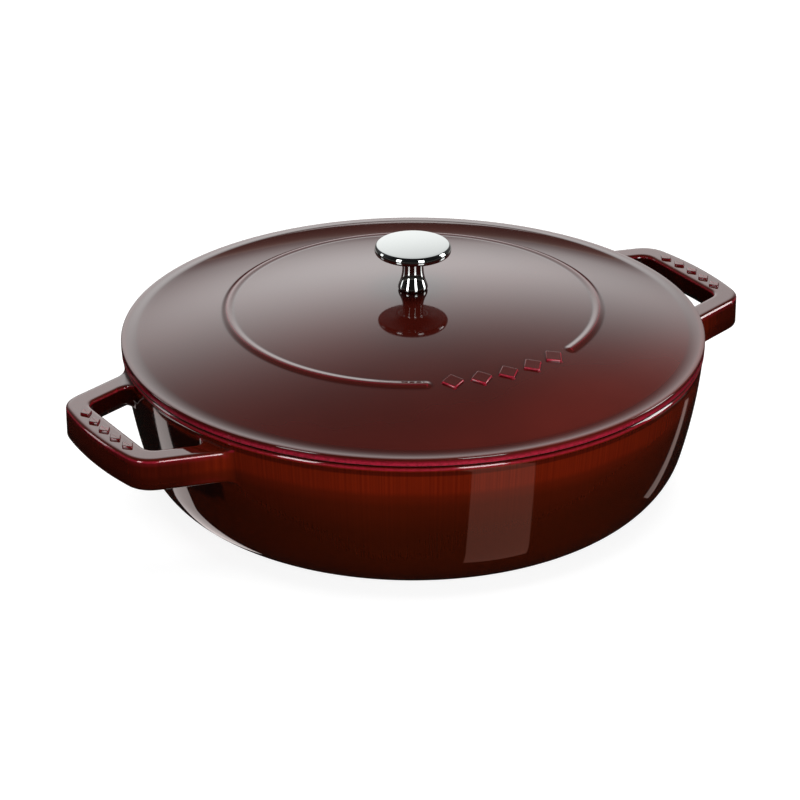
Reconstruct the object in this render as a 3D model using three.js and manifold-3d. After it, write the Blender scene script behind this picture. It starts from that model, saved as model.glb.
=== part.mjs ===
// A low, round, enamelled cast iron pan with a domed lid and a turned metal knob.
// Millimetres, +Z up. The origin is the middle of the base, on the surface that the pan stands on.
// +X runs along the two handles, and the open stretch of the ring on the lid faces -Y.

import * as THREE from 'three';
import { mergeVertices } from 'three/addons/utils/BufferGeometryUtils.js';
import Module from 'manifold-3d';

const wasm = await Module();
wasm.setup();

// Fits and fineness
const FIT_GAP = 0.3;            // between pieces that touch
const TURNS = 60;               // sides of the large round pieces
const SMALL_TURNS = 28;         // sides of the knob, the screw and the washers
const CHORD_GAP = 0.12;         // how far a flat of a round section may stand off the true arc
const CORNER_STEPS = 4;         // flats of a rounded corner in an outline
const EDGE_STEPS = 3;           // flats of the rounding along a handle's edges
const WELD = 1e-4;              // vertices closer than this are one vertex

// Pot: base, wall and rim
const POT_HEIGHT = 77.4;
const BASE_RADIUS = 103;        // flat foot of the pot
const FOOT_ROUND = 34;          // round from the foot into the wall
const FOOT_LEAN = 15.2;         // degrees off plumb where the wall starts
const WALL_ARC = 271;           // the wall bows out with this radius
const WALL_THICK = 5;
const RIM_ROUND = 1.6;

// Handles: flat loops cast in one with the wall
const HANDLE_TOP = 71.7;
const HANDLE_DEEP = 16.4;
const GAP_DEEP = 9.4;           // the finger gap's side of the handle is lower, and the underside
const UNDERSIDE_WIDE = 8.5;     // slopes down from it over this width
const HANDLE_REACH = 180.8;     // from the pot's axis to the outside of the grip
const ARM_MID = 155;            // where the two sizes below are measured along X
const ARM_OUTSIDE = 45.6;       // half the handle's width
const ARM_INSIDE = 33.8;        // half the finger gap's width
const ARM_TAPER = 0.309;        // the arms close in by this much per millimetre outwards
const GRIP_WIDE = 13.6;
const HANDLE_EDGE = 2.6;        // rounding of the handle's long edges
const ROOT_ROUND_OUT = 10;
const ROOT_ROUND_IN = 7;
const CORNER_ROUND_OUT = 16;
const CORNER_ROUND_IN = 8;
const GRIP_ARC_SHARE = 0.66;    // the grip is an arc about the axis over this share of its width
const GAP_ARC_SHARE = 0.5;      // and so is the wall's side of the finger gap
const ROOT_FLARE = 4;           // degrees that a root spreads along the wall past its arm
const ROOT_SKIN = 142;          // the roots flare out along the wall, just under its skin
const ROOT_BURY = 125;          // and run in past the wall, where the pot's room cuts them off

// Lid: flat rim band, dome and locating ring
const LID_RADIUS = 145;
const LID_EDGE_HIGH = 3.9;
const LID_EDGE_ROUND = 1.4;
const LID_RISE = 25.7;          // from the seat on the rim to the middle of the dome
const DOME_ARC = 455;
const BAND_INSIDE = 141;        // the flat band ends here and the hollow round to the dome starts
const BAND_ROUND_WIDE = 4;
const BAND_ROUND_SHARE = 0.25;  // of the dome's height over the band, at the middle of that round
const LID_THICK = 4.3;
const LOCATOR_OUTSIDE = 138.2;
const LOCATOR_INSIDE = 134.6;
const LOCATOR_DEEP = 4;
const LOCATOR_EDGE = 1;
const SEAT_INSIDE = 8;          // flat on the dome for the knob's foot
const PAD_RADIUS = 12;          // flat under the dome for the washers
const PAD_DEEP = 1;

// Relief on the lid: low ring with an open stretch that holds a row of lozenges
const RING_RADIUS = 92;
const BEAD_HALF = 3.2;          // half the ring's width
const BEAD_HIGH = 0.8;
const RING_GAP = 52;            // degrees left open
const LID_TURN = -3;            // the loose lid sits turned by this many degrees
const LOZENGE_COUNT = 5;
const LOZENGE_ROUND = 0.6;
const RELIEF_HIGH = 1;
const LID_LOZENGE = { radius: 91, step: 14.2, along: 5.6, across: 5.4 };
const GRIP_LOZENGE = { radius: 173.9, step: 10.4, along: 4.2, across: 3.2 };

// Basting nubs under the lid
const NUB_ROUND = 3.2;
const NUB_HIGH = 4;
const NUB_SIDES = 6;
const NUB_RINGS = [{ radius: 40, count: 8 }, { radius: 75, count: 14 }, { radius: 108, count: 20 }];

// Knob and its fasteners
const KNOB_HIGH = 23.7;
const CAP_RADIUS = 18.9;
const CAP_EDGE = 4.3;
const CAP_CROWN = 0.4;          // the cap's middle stands this far above its edge
const CAP_ROUND = 1.3;          // lower edge of the cap
const CAP_SHOULDER = 3.6;       // its side leans in on this arc, over the turn below
const CAP_SHOULDER_TURN = 40;
const STEM_RADIUS = 5.3;
const STEM_LOW = 11.5;          // the bell of the foot runs out into the stem at this height over the foot
const STEM_HIGH = 15.5;         // and here the stem starts to flare into the cap
const BELL_RADIUS = 7.4;
const BELL_HIGH = 1;            // the bell is plumb up to here
const BELL_PULL = 3.1;          // and bends in towards the stem between these two heights
const STEM_PULL = 5;
const FOOT_RADIUS = 7.1;
const CURVE_STEPS = 6;          // flats of the bell and of the flare under the cap
const SCREW_RADIUS = 3;
const SCREW_GRIP = 11;          // depth of the tapped hole in the knob
const SCREW_SHORT = 1;          // the screw ends this far before the hole does
const SCREW_EDGE = 0.8;
const DRILL_POINT = 2;
const HEAD_RADIUS = 6;
const HEAD_HIGH = 3.6;
const HEAD_ROUND = 1.7;
const SLOT_WIDE = 1.6;
const SLOT_DEEP = 1.8;
const FLAT_WASHER = { outside: 9, thick: 1.2, edge: 0.3 };
const LOCK_WASHER = { outside: 5.8, thick: 1.6, split: 1.4 };

// Finishes
const ENAMEL = { color: '#4e130a', roughness: 0.12, metalness: 0 };
const NICKEL = { color: '#c9cbc8', roughness: 0.06, metalness: 1 };
const ZINC = { color: '#9a9c9e', roughness: 0.3, metalness: 1 };

// Heights that follow from the sizes above
const LID_SEAT = POT_HEIGHT + FIT_GAP;
const LID_TOP = LID_SEAT + LID_RISE;
const BAND_TOP = LID_SEAT + LID_EDGE_HIGH;
const DOME_CENTRE = LID_TOP - DOME_ARC;
const UNDER_ARC = DOME_ARC - LID_THICK;
const BORE_RADIUS = SCREW_RADIUS + FIT_GAP;

// The washers and the screw's head stack downwards from the pad under the lid.
const PAD_FACE = LID_TOP - LID_THICK - PAD_DEEP;
const WASHER_TOP = PAD_FACE - FIT_GAP;
const LOCK_TOP = WASHER_TOP - FLAT_WASHER.thick - FIT_GAP;
const HEAD_TOP = LOCK_TOP - LOCK_WASHER.thick - FIT_GAP;

const radians = THREE.MathUtils.degToRad;
const polar = (radius, angle) => [radius * Math.cos(angle), radius * Math.sin(angle)];

// Points of an arc about a centre, both ends included, close enough together to keep to the chord gap.
function arc([x, y], radius, from, to) {
  const widest = 2 * Math.acos(1 - CHORD_GAP / radius);
  const steps = Math.ceil(Math.abs(to - from) / widest);
  const points = [];
  for (let i = 0; i <= steps; i += 1) {
    const [dx, dy] = polar(radius, from + (to - from) * i / steps);
    points.push([x + dx, y + dy]);
  }
  return points;
}

// A shape whose corners are [x, y, rounding].
function roundedShape(corners, Kind = THREE.Shape) {
  const outline = new Kind();
  const spots = corners.map(([x, y]) => new THREE.Vector2(x, y));
  corners.forEach(([, , rounding = 0], i) => {
    const here = spots[i];
    const back = spots.at(i - 1).clone().sub(here).normalize();
    const ahead = spots[(i + 1) % spots.length].clone().sub(here).normalize();
    const reach = rounding / Math.tan(Math.acos(back.dot(ahead)) / 2);
    const start = here.clone().addScaledVector(back, reach);
    const end = here.clone().addScaledVector(ahead, reach);
    if (i === 0) outline.moveTo(start.x, start.y);
    else outline.lineTo(start.x, start.y);
    if (rounding > 0) outline.quadraticCurveTo(here.x, here.y, end.x, end.y);
  });
  outline.closePath();
  return outline;
}

// Signed volume of a welded mesh, positive when its faces point out.
function volumeOf(vertices, triangles) {
  const corner = (n) => new THREE.Vector3().fromArray(vertices, 3 * n);
  let six = 0;
  for (let i = 0; i < triangles.length; i += 3) {
    six += corner(triangles[i]).dot(corner(triangles[i + 1]).cross(corner(triangles[i + 2])));
  }
  return six / 6;
}

// A closed three.js geometry as a solid that can be joined and cut.
function solidOf(geometry) {
  const bare = geometry.clone();
  for (const name of Object.keys(bare.attributes)) {
    if (name !== 'position') bare.deleteAttribute(name);
  }
  const welded = mergeVertices(bare, WELD);
  const vertices = new Float32Array(welded.attributes.position.array);
  const index = welded.index.array;
  const triangles = [];
  for (let i = 0; i < index.length; i += 3) {
    const [a, b, c] = index.slice(i, i + 3);
    if (a !== b && b !== c && c !== a) triangles.push(a, b, c);
  }
  if (volumeOf(vertices, triangles) < 0) triangles.reverse();
  return new wasm.Manifold(new wasm.Mesh({
    numProp: 3, vertProperties: vertices, triVerts: new Uint32Array(triangles),
  }));
}

// A profile of [radius, height] points turned about Z.
function turned(profile, sides) {
  const points = profile.map(([radius, height]) => new THREE.Vector2(Math.max(radius, 0), height));
  return solidOf(new THREE.LatheGeometry(points, sides).rotateX(Math.PI / 2));
}

// A profile that goes round a hole and so ends where it starts.
function turnedRing(profile, sides) {
  return turned([...profile, profile[0]], sides);
}

// A named mesh of a finished solid, in a material of its own.
function piece(name, solid, finish) {
  const { vertProperties, triVerts } = solid.getMesh();
  const geometry = new THREE.BufferGeometry();
  geometry.setAttribute('position', new THREE.BufferAttribute(new Float32Array(vertProperties), 3));
  geometry.setIndex(new THREE.BufferAttribute(new Uint32Array(triVerts), 1));
  geometry.computeVertexNormals();
  const mesh = new THREE.Mesh(geometry, new THREE.MeshStandardMaterial(finish));
  mesh.name = name;
  return mesh;
}

// The pot's section as [radius, height] points: outside from the foot up, inside from the shoulder down.
function potSection() {
  const footCentre = [BASE_RADIUS, FOOT_ROUND];
  const lean = -radians(FOOT_LEAN);
  const [wallX, wallZ] = polar(FOOT_ROUND - WALL_ARC, lean);
  const wallCentre = [BASE_RADIUS + wallX, FOOT_ROUND + wallZ];
  const shoulder = POT_HEIGHT - RIM_ROUND;
  const leanAt = (radius) => Math.asin((shoulder - wallCentre[1]) / radius);
  const innerArc = WALL_ARC - WALL_THICK;
  const outside = [
    ...arc(footCentre, FOOT_ROUND, -Math.PI / 2, lean),
    ...arc(wallCentre, WALL_ARC, lean, leanAt(WALL_ARC)).slice(1),
  ];
  const inside = [
    ...arc(wallCentre, innerArc, leanAt(innerArc), lean),
    ...arc(footCentre, FOOT_ROUND - WALL_THICK, lean, -Math.PI / 2).slice(1),
  ];
  return { outside, inside, shoulder };
}

// Base, wall and rounded rim.
function potShell({ outside, inside, shoulder }) {
  const rimOut = outside.at(-1)[0] - RIM_ROUND;
  const rimIn = inside[0][0] + RIM_ROUND;
  return turned([
    [0, 0],
    ...outside,
    ...arc([rimOut, shoulder], RIM_ROUND, 0, Math.PI / 2).slice(1),
    ...arc([rimIn, shoulder], RIM_ROUND, Math.PI / 2, Math.PI),
    ...inside.slice(1),
    [0, WALL_THICK],
  ], TURNS);
}

// The room inside the wall, up to the rim's rounding.
function potRoom({ inside, shoulder }) {
  return turned([[0, shoulder], ...inside, [0, WALL_THICK]], TURNS);
}

// An arc of plain corners about the pot's axis, from one angle to its mirror image.
function sweep(radius, angle) {
  return arc([0, 0], radius, angle, -angle).map(([x, y]) => [x, y, 0]);
}

// Where a line that tapers like an arm meets a circle about the axis.
function armMeets(halfWidth, radius) {
  const at = halfWidth + ARM_TAPER * ARM_MID;
  const square = 1 + ARM_TAPER ** 2;
  const x = (ARM_TAPER * at + Math.sqrt(radius ** 2 * square - at ** 2)) / square;
  return [x, at - ARM_TAPER * x];
}

// One loop handle on the +X side: flared roots, tapering arms, a grip that follows the pot's round
// and an underside that slopes up to the finger gap.
function handleLoop() {
  const root = armMeets(ARM_OUTSIDE, ROOT_SKIN);
  const corner = armMeets(ARM_OUTSIDE, HANDLE_REACH);
  const gapRoot = armMeets(ARM_INSIDE, ROOT_SKIN);
  const gapEnd = HANDLE_REACH - GRIP_WIDE;
  const gapCorner = [gapEnd, ARM_INSIDE - ARM_TAPER * (gapEnd - ARM_MID)];
  const angleOf = ([x, y]) => Math.atan2(y, x);
  const flare = angleOf(root) + radians(ROOT_FLARE);
  const mirrored = ([x, y], rounding) => [x, -y, rounding];
  const shape = roundedShape([
    [...polar(ROOT_SKIN, flare), 0],
    [...root, ROOT_ROUND_OUT],
    [...corner, CORNER_ROUND_OUT],
    ...sweep(HANDLE_REACH, angleOf(corner) * GRIP_ARC_SHARE),
    mirrored(corner, CORNER_ROUND_OUT),
    mirrored(root, ROOT_ROUND_OUT),
    [...polar(ROOT_SKIN, -flare), 0],
    ...sweep(ROOT_BURY, -flare),
  ]);
  const gap = [
    mirrored(gapRoot, ROOT_ROUND_IN),
    mirrored(gapCorner, CORNER_ROUND_IN),
    [...gapCorner, CORNER_ROUND_IN],
    [...gapRoot, ROOT_ROUND_IN],
    ...sweep(ROOT_SKIN, angleOf(gapRoot) * GAP_ARC_SHARE),
  ];
  shape.holes.push(roundedShape(gap, THREE.Path));
  const loop = new THREE.ExtrudeGeometry(shape, {
    depth: HANDLE_DEEP - 2 * HANDLE_EDGE,
    curveSegments: CORNER_STEPS,
    bevelThickness: HANDLE_EDGE,
    bevelSize: HANDLE_EDGE,
    bevelOffset: -HANDLE_EDGE,
    bevelSegments: EDGE_STEPS,
  });
  const low = HANDLE_TOP - HANDLE_DEEP;
  const slope = new THREE.ExtrudeGeometry(roundedShape(gap), {
    depth: HANDLE_DEEP,
    curveSegments: CORNER_STEPS,
    bevelThickness: HANDLE_DEEP - GAP_DEEP,
    bevelSize: UNDERSIDE_WIDE,
    bevelSegments: 1,
  });
  const solid = solidOf(loop.translate(0, 0, low + HANDLE_EDGE));
  return solid.subtract(solidOf(slope.translate(0, 0, low - HANDLE_DEEP)));
}

// A raised lozenge with its long way along X, standing on the XY plane and sunk into it.
function lozenge({ along, across }, high, sunk) {
  const corners = [[along, 0], [0, across], [-along, 0], [0, -across]];
  const shape = roundedShape(corners.map((spot) => [...spot, LOZENGE_ROUND]));
  const draft = high / 2;
  const block = new THREE.ExtrudeGeometry(shape, {
    depth: high + sunk - draft,
    curveSegments: CORNER_STEPS / 2,
    bevelThickness: draft,
    bevelSize: draft,
    bevelOffset: -draft,
    bevelSegments: 1,
  });
  return block.translate(0, 0, -sunk);
}

// The angles about Z of a row of lozenges round a middle angle.
function lozengeAngles({ radius, step }, middle) {
  const first = -(LOZENGE_COUNT - 1) / 2;
  return Array.from({ length: LOZENGE_COUNT }, (_, i) => middle + (first + i) * step / radius);
}

function potBody() {
  const section = potSection();
  const loop = handleLoop();
  const room = potRoom(section);
  let pot = potShell(section);
  for (const side of [0, 180]) {
    pot = pot.add(loop.rotate([0, 0, side]).subtract(room));
    for (const angle of lozengeAngles(GRIP_LOZENGE, radians(side))) {
      const mark = lozenge(GRIP_LOZENGE, RELIEF_HIGH, RELIEF_HIGH).rotateZ(Math.PI / 2);
      mark.translate(GRIP_LOZENGE.radius, 0, HANDLE_TOP).rotateZ(angle);
      pot = pot.add(solidOf(mark));
    }
  }
  return pot;
}

const domeAngle = (radius, reach = DOME_ARC) => Math.acos(radius / reach);
const domeHeight = (radius) => DOME_CENTRE + DOME_ARC * Math.sin(domeAngle(radius));

// The lid's section: dome, band and edge on top, then seat, locating ring and hollow underneath.
function lidShell() {
  const domeEnd = BAND_INSIDE - BAND_ROUND_WIDE;
  const edge = LID_RADIUS - LID_EDGE_ROUND;
  const low = LID_EDGE_ROUND / 2;
  const locatorFoot = LID_SEAT - LOCATOR_DEEP;
  const bandDip = BAND_TOP + (domeHeight(domeEnd) - BAND_TOP) * BAND_ROUND_SHARE;
  const under = (radius) => domeAngle(radius, UNDER_ARC);
  return turnedRing([
    [BORE_RADIUS, domeHeight(SEAT_INSIDE)],
    ...arc([0, DOME_CENTRE], DOME_ARC, domeAngle(SEAT_INSIDE), domeAngle(domeEnd)),
    [BAND_INSIDE - BAND_ROUND_WIDE / 2, bandDip],
    [BAND_INSIDE, BAND_TOP],
    ...arc([edge, BAND_TOP - LID_EDGE_ROUND], LID_EDGE_ROUND, Math.PI / 2, 0),
    ...arc([LID_RADIUS - low, LID_SEAT + low], low, 0, -Math.PI / 2),
    [LOCATOR_OUTSIDE, LID_SEAT],
    [LOCATOR_OUTSIDE, locatorFoot + LOCATOR_EDGE],
    [LOCATOR_OUTSIDE - LOCATOR_EDGE, locatorFoot],
    [LOCATOR_INSIDE + LOCATOR_EDGE, locatorFoot],
    [LOCATOR_INSIDE, locatorFoot + LOCATOR_EDGE],
    ...arc([0, DOME_CENTRE], UNDER_ARC, under(LOCATOR_INSIDE), under(PAD_RADIUS)),
    [PAD_RADIUS, PAD_FACE],
    [BORE_RADIUS, PAD_FACE],
  ], TURNS);
}

// A low bead whose round top stands square on the dome, cut open over the gap.
function ringBead(middle) {
  const crown = (BEAD_HALF ** 2 + BEAD_HIGH ** 2) / (2 * BEAD_HIGH);
  const reach = Math.asin(BEAD_HALF / crown);
  const upright = domeAngle(RING_RADIUS);
  const [x, z] = polar(DOME_ARC + BEAD_HIGH - crown, upright);
  const spread = BEAD_HALF / DOME_ARC;
  const ring = turnedRing([
    ...arc([x, DOME_CENTRE + z], crown, upright + reach, upright - reach),
    ...arc([0, DOME_CENTRE], DOME_ARC - LID_THICK / 2, upright - spread, upright + spread),
  ], TURNS);
  const half = radians(RING_GAP) / 2;
  const wedge = roundedShape([[0, 0], ...arc([0, 0], LID_RADIUS, middle - half, middle + half)]);
  const cut = new THREE.ExtrudeGeometry(wedge, { depth: LID_RISE, bevelEnabled: false });
  return ring.subtract(solidOf(cut.translate(0, 0, LID_SEAT)));
}

// A cone under the dome that drips condensed steam.
function nub(radius, angle) {
  const underneath = DOME_CENTRE + UNDER_ARC * Math.sin(domeAngle(radius, UNDER_ARC));
  const buried = LID_THICK / 2;
  const tall = NUB_HIGH + buried;
  const cone = new THREE.ConeGeometry(NUB_ROUND, tall, NUB_SIDES).rotateX(-Math.PI / 2);
  cone.translate(radius, 0, underneath + buried - tall / 2).rotateZ(angle);
  return solidOf(cone);
}

function lid() {
  const middle = radians(LID_TURN) - Math.PI / 2;
  let casting = lidShell().add(ringBead(middle));
  const tilt = Math.asin(LID_LOZENGE.radius / DOME_ARC);
  for (const angle of lozengeAngles(LID_LOZENGE, middle)) {
    const mark = lozenge(LID_LOZENGE, RELIEF_HIGH, LID_THICK / 2).rotateZ(Math.PI / 2).rotateY(tilt);
    mark.translate(LID_LOZENGE.radius, 0, domeHeight(LID_LOZENGE.radius)).rotateZ(angle);
    casting = casting.add(solidOf(mark));
  }
  for (const { radius, count } of NUB_RINGS) {
    for (let i = 0; i < count; i += 1) casting = casting.add(nub(radius, 2 * Math.PI * i / count));
  }
  return casting;
}

// The knob's section from its foot up the waisted stem and over the cap, then down the tapped hole.
function knob() {
  const foot = domeHeight(SEAT_INSIDE) + FIT_GAP;
  const top = foot + KNOB_HIGH;
  const rim = top - CAP_CROWN;
  const capLow = rim - CAP_EDGE;
  const turn = radians(CAP_SHOULDER_TURN);
  const bell = new THREE.CubicBezierCurve(
    new THREE.Vector2(BELL_RADIUS, foot + BELL_HIGH),
    new THREE.Vector2(BELL_RADIUS, foot + BELL_PULL),
    new THREE.Vector2(STEM_RADIUS, foot + STEM_PULL),
    new THREE.Vector2(STEM_RADIUS, foot + STEM_LOW),
  );
  const flare = new THREE.QuadraticBezierCurve(
    new THREE.Vector2(STEM_RADIUS, foot + STEM_HIGH),
    new THREE.Vector2(STEM_RADIUS, capLow),
    new THREE.Vector2(CAP_RADIUS - CAP_ROUND, capLow),
  );
  const points = (curve) => curve.getPoints(CURVE_STEPS).map(({ x, y }) => [x, y]);
  return turned([
    [BORE_RADIUS, foot],
    [FOOT_RADIUS, foot],
    ...points(bell),
    ...points(flare),
    ...arc([CAP_RADIUS - CAP_ROUND, capLow + CAP_ROUND], CAP_ROUND, -Math.PI / 2, 0).slice(1),
    ...arc([CAP_RADIUS - CAP_SHOULDER, rim - CAP_SHOULDER * Math.sin(turn)], CAP_SHOULDER, 0, turn),
    [CAP_RADIUS / 2, top - CAP_CROWN / 4],
    [0, top],
    [0, foot + SCREW_GRIP + DRILL_POINT],
    [BORE_RADIUS, foot + SCREW_GRIP],
    [BORE_RADIUS, foot],
  ], SMALL_TURNS);
}

function flatWasher() {
  const low = WASHER_TOP - FLAT_WASHER.thick;
  return turnedRing([
    [BORE_RADIUS, low],
    [FLAT_WASHER.outside - FLAT_WASHER.edge, low],
    [FLAT_WASHER.outside, low + FLAT_WASHER.edge],
    [FLAT_WASHER.outside, WASHER_TOP],
    [BORE_RADIUS, WASHER_TOP],
  ], SMALL_TURNS);
}

// A ring cut through on one side.
function lockWasher() {
  const { outside, thick, split } = LOCK_WASHER;
  const low = LOCK_TOP - thick;
  const ring = turnedRing([
    [BORE_RADIUS, low],
    [outside, low],
    [outside, LOCK_TOP],
    [BORE_RADIUS, LOCK_TOP],
  ], SMALL_TURNS);
  const cut = new THREE.BoxGeometry(split, 2 * outside, 2 * outside);
  return ring.subtract(solidOf(cut.translate(0, -outside, low)));
}

// A slotted screw, put in from below, with its head downwards.
function knobScrew() {
  const tip = domeHeight(SEAT_INSIDE) + FIT_GAP + SCREW_GRIP - SCREW_SHORT;
  const low = HEAD_TOP - HEAD_HIGH;
  const screw = turned([
    [0, low],
    ...arc([HEAD_RADIUS - HEAD_ROUND, low + HEAD_ROUND], HEAD_ROUND, -Math.PI / 2, 0),
    [HEAD_RADIUS, HEAD_TOP],
    [SCREW_RADIUS, HEAD_TOP],
    [SCREW_RADIUS, tip - SCREW_EDGE],
    [SCREW_RADIUS - SCREW_EDGE, tip],
    [0, tip],
  ], SMALL_TURNS);
  const slot = new THREE.BoxGeometry(SLOT_WIDE, 4 * HEAD_RADIUS, 2 * SLOT_DEEP);
  return screw.subtract(solidOf(slot.translate(0, 0, low)));
}

const pan = new THREE.Group();
const cover = new THREE.Group();
cover.add(
  piece('lid', lid(), ENAMEL),
  piece('knob', knob(), NICKEL),
  piece('knob_screw', knobScrew(), ZINC),
  piece('flat_washer', flatWasher(), ZINC),
  piece('lock_washer', lockWasher(), ZINC),
);
pan.add(piece('pot_body', potBody(), ENAMEL), cover);

export default pan;
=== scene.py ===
from math import acos, asin, atan2, cos, degrees, pi, radians, sin, sqrt, tau

import bmesh
import bpy
import numpy as np
from bpy.props import FloatProperty, FloatVectorProperty, PointerProperty
from mathutils import Matrix, Vector


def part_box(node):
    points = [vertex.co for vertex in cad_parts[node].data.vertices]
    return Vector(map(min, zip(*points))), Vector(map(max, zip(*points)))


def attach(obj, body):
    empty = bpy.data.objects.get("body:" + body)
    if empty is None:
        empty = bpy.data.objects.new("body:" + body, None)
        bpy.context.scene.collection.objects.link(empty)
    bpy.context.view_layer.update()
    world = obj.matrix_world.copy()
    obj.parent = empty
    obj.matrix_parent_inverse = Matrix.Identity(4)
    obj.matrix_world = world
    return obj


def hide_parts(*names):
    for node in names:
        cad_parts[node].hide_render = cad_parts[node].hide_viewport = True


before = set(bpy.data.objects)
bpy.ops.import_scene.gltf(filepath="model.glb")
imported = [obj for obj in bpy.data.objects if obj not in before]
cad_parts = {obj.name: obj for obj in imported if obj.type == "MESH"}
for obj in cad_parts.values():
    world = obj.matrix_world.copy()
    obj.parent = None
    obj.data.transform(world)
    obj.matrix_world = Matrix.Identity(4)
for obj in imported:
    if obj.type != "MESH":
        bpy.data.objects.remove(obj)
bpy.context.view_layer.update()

bl_info = {
    "name": "Enamelled Pan",
    "version": (1, 0, 0),
    "blender": (4, 5, 0),
    "location": "3D View > Sidebar > Pan",
    "description": "Models and finishes a low enamelled cast iron pan with a domed lid",
    "category": "Add Mesh",
}

MM = 0.001
WELD = 0.01 * MM

# Corners of the CAD nodes.
POT_HIGH = Vector(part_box("pot_body")[1])
LID_HIGH = Vector(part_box("lid")[1])
KNOB_LOW, KNOB_HIGH = map(Vector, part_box("knob"))
SCREW_LOW, SCREW_HIGH = map(Vector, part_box("knob_screw"))
WASHER_LOW, WASHER_HIGH = map(Vector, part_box("flat_washer"))
SPRING_LOW, SPRING_HIGH = map(Vector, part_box("lock_washer"))


def length(name, description, default):
    """A size in metres."""
    return FloatProperty(name=name, description=description, default=default,
                         unit="LENGTH", subtype="DISTANCE", precision=4)


def angle(name, description, default):
    """An angle given in degrees."""
    return FloatProperty(name=name, description=description, default=radians(default), subtype="ANGLE")


def colour(name, description, default):
    """A linear colour."""
    return FloatVectorProperty(name=name, description=description, default=(*default, 1), size=4,
                               subtype="COLOR", min=0, max=1)


def plain(name, description, default):
    """A number without a unit."""
    return FloatProperty(name=name, description=description, default=default)


class PotSizes(bpy.types.PropertyGroup):
    """Sizes of the pot's shell"""

    rim_high: length("Height", "From the base to the top of the rim", 77.4 * MM)
    base_radius: length("Base Radius", "Flat foot of the pot", 103 * MM)
    foot_round: length("Foot Round", "Round from the foot into the wall", 34 * MM)
    foot_lean: angle("Foot Lean", "Lean of the wall where it leaves the foot", 15.2)
    wall_arc: length("Wall Arc", "Radius with which the wall bows out", 271 * MM)
    wall_thick: length("Wall", "Thickness of the wall and the base", 5 * MM)
    lip_round: length("Lip Round", "Round of the lip at the rim", 2 * MM)
    lip_proud: length("Lip Proud", "How far the lip stands out from the wall", 0.5 * MM)


class HandleSizes(bpy.types.PropertyGroup):
    """Sizes of the two loop handles"""

    top: length("Top", "Height of the flat top", 71.7 * MM)
    deep: length("Depth", "From the top to the underside", 16.4 * MM)
    reach: length("Reach", "From the pot's axis to the outside of the grip", POT_HIGH.x)
    arm_mid: length("Arm Middle", "Where the two widths are measured, from the axis", 155 * MM)
    arm_outside: length("Half Width", "Half the handle's width", 45.6 * MM)
    arm_inside: length("Half Gap", "Half the finger gap's width", 33.8 * MM)
    arm_taper: plain("Arm Taper", "How much the arms close in on their way out", 0.309)
    grip_wide: length("Grip Width", "From the finger gap to the outside of the grip", 13.6 * MM)
    gap_deep: length("Gap Depth", "Height of the finger gap's sides", 9.4 * MM)
    slope_wide: length("Slope Width", "Width over which the underside slopes down from the gap", 8.5 * MM)
    edge: length("Edge Round", "Round of the long edges", 1.8 * MM)
    corner_out: length("Outer Corner", "Round of the outer corners", 16 * MM)
    corner_in: length("Inner Corner", "Round of the finger gap's corners", 8 * MM)
    mark_radius: length("Mark Radius", "From the pot's axis to the row of lozenges", 173.9 * MM)
    mark_step: length("Mark Step", "From one lozenge to the next", 10.4 * MM)
    mark_along: length("Mark Length", "Half a lozenge's length along the row", 4.2 * MM)
    mark_across: length("Mark Width", "Half a lozenge's width across the row", 3.2 * MM)


class LidSizes(bpy.types.PropertyGroup):
    """Sizes of the lid casting"""

    radius: length("Radius", "Outside of the lid", LID_HIGH.x)
    seat: length("Seat", "Height of the face that rests on the rim", 77.7 * MM)
    edge_high: length("Edge Height", "From the seat to the top of the band", 3.75 * MM)
    edge_round: length("Edge Round", "Round of the lid's outer edge", 0.55 * MM)
    rise: length("Rise", "From the seat to the middle of the dome", 25.7 * MM)
    dome_arc: length("Dome Arc", "Radius of the dome", 455 * MM)
    hollow_round: length("Hollow Round", "Round from the dome into the band", 22 * MM)
    band_round: length("Band Round", "Round with which the band falls to the edge", 12 * MM)
    thick: length("Thickness", "Thickness of the dome", 4.3 * MM)
    locator_outside: length("Locator Outside", "Outer radius of the locating ring", 138.2 * MM)
    locator_inside: length("Locator Inside", "Inner radius of the locating ring", 134.6 * MM)
    locator_deep: length("Locator Depth", "How far the locating ring hangs below the seat", 4 * MM)
    bore: length("Bore", "Radius of the hole for the screw", 3.3 * MM)
    knob_seat: length("Knob Seat", "Radius of the flat under the knob", 8 * MM)
    pad_radius: length("Pad Radius", "Flat under the dome for the washers", 12 * MM)
    pad_deep: length("Pad Depth", "How far the pad hangs below the dome", 1 * MM)
    ring_radius: length("Ring Radius", "Middle of the raised ring", 92 * MM)
    bead_half: length("Bead Half", "Half the raised ring's width", 3.4 * MM)
    bead_high: length("Bead Height", "Height of the raised ring over the dome", 0.8 * MM)
    ring_gap: angle("Ring Gap", "Stretch of the ring that is left open", 52)
    turn: angle("Turn", "How far the loose lid is turned on the rim", -3)
    mark_radius: length("Mark Radius", "From the axis to the row of lozenges", 91 * MM)
    mark_step: length("Mark Step", "From one lozenge to the next", 14.2 * MM)
    mark_along: length("Mark Length", "Half a lozenge's length along the row", 5.6 * MM)
    mark_across: length("Mark Width", "Half a lozenge's width across the row", 5.4 * MM)
    mark_high: length("Mark Height", "Height of the lozenges here and on the grips", 1 * MM)
    nub_round: length("Nub Radius", "Radius of a basting nub where it meets the dome", 3.2 * MM)
    nub_high: length("Nub Height", "Height of a basting nub", 4 * MM)


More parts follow.
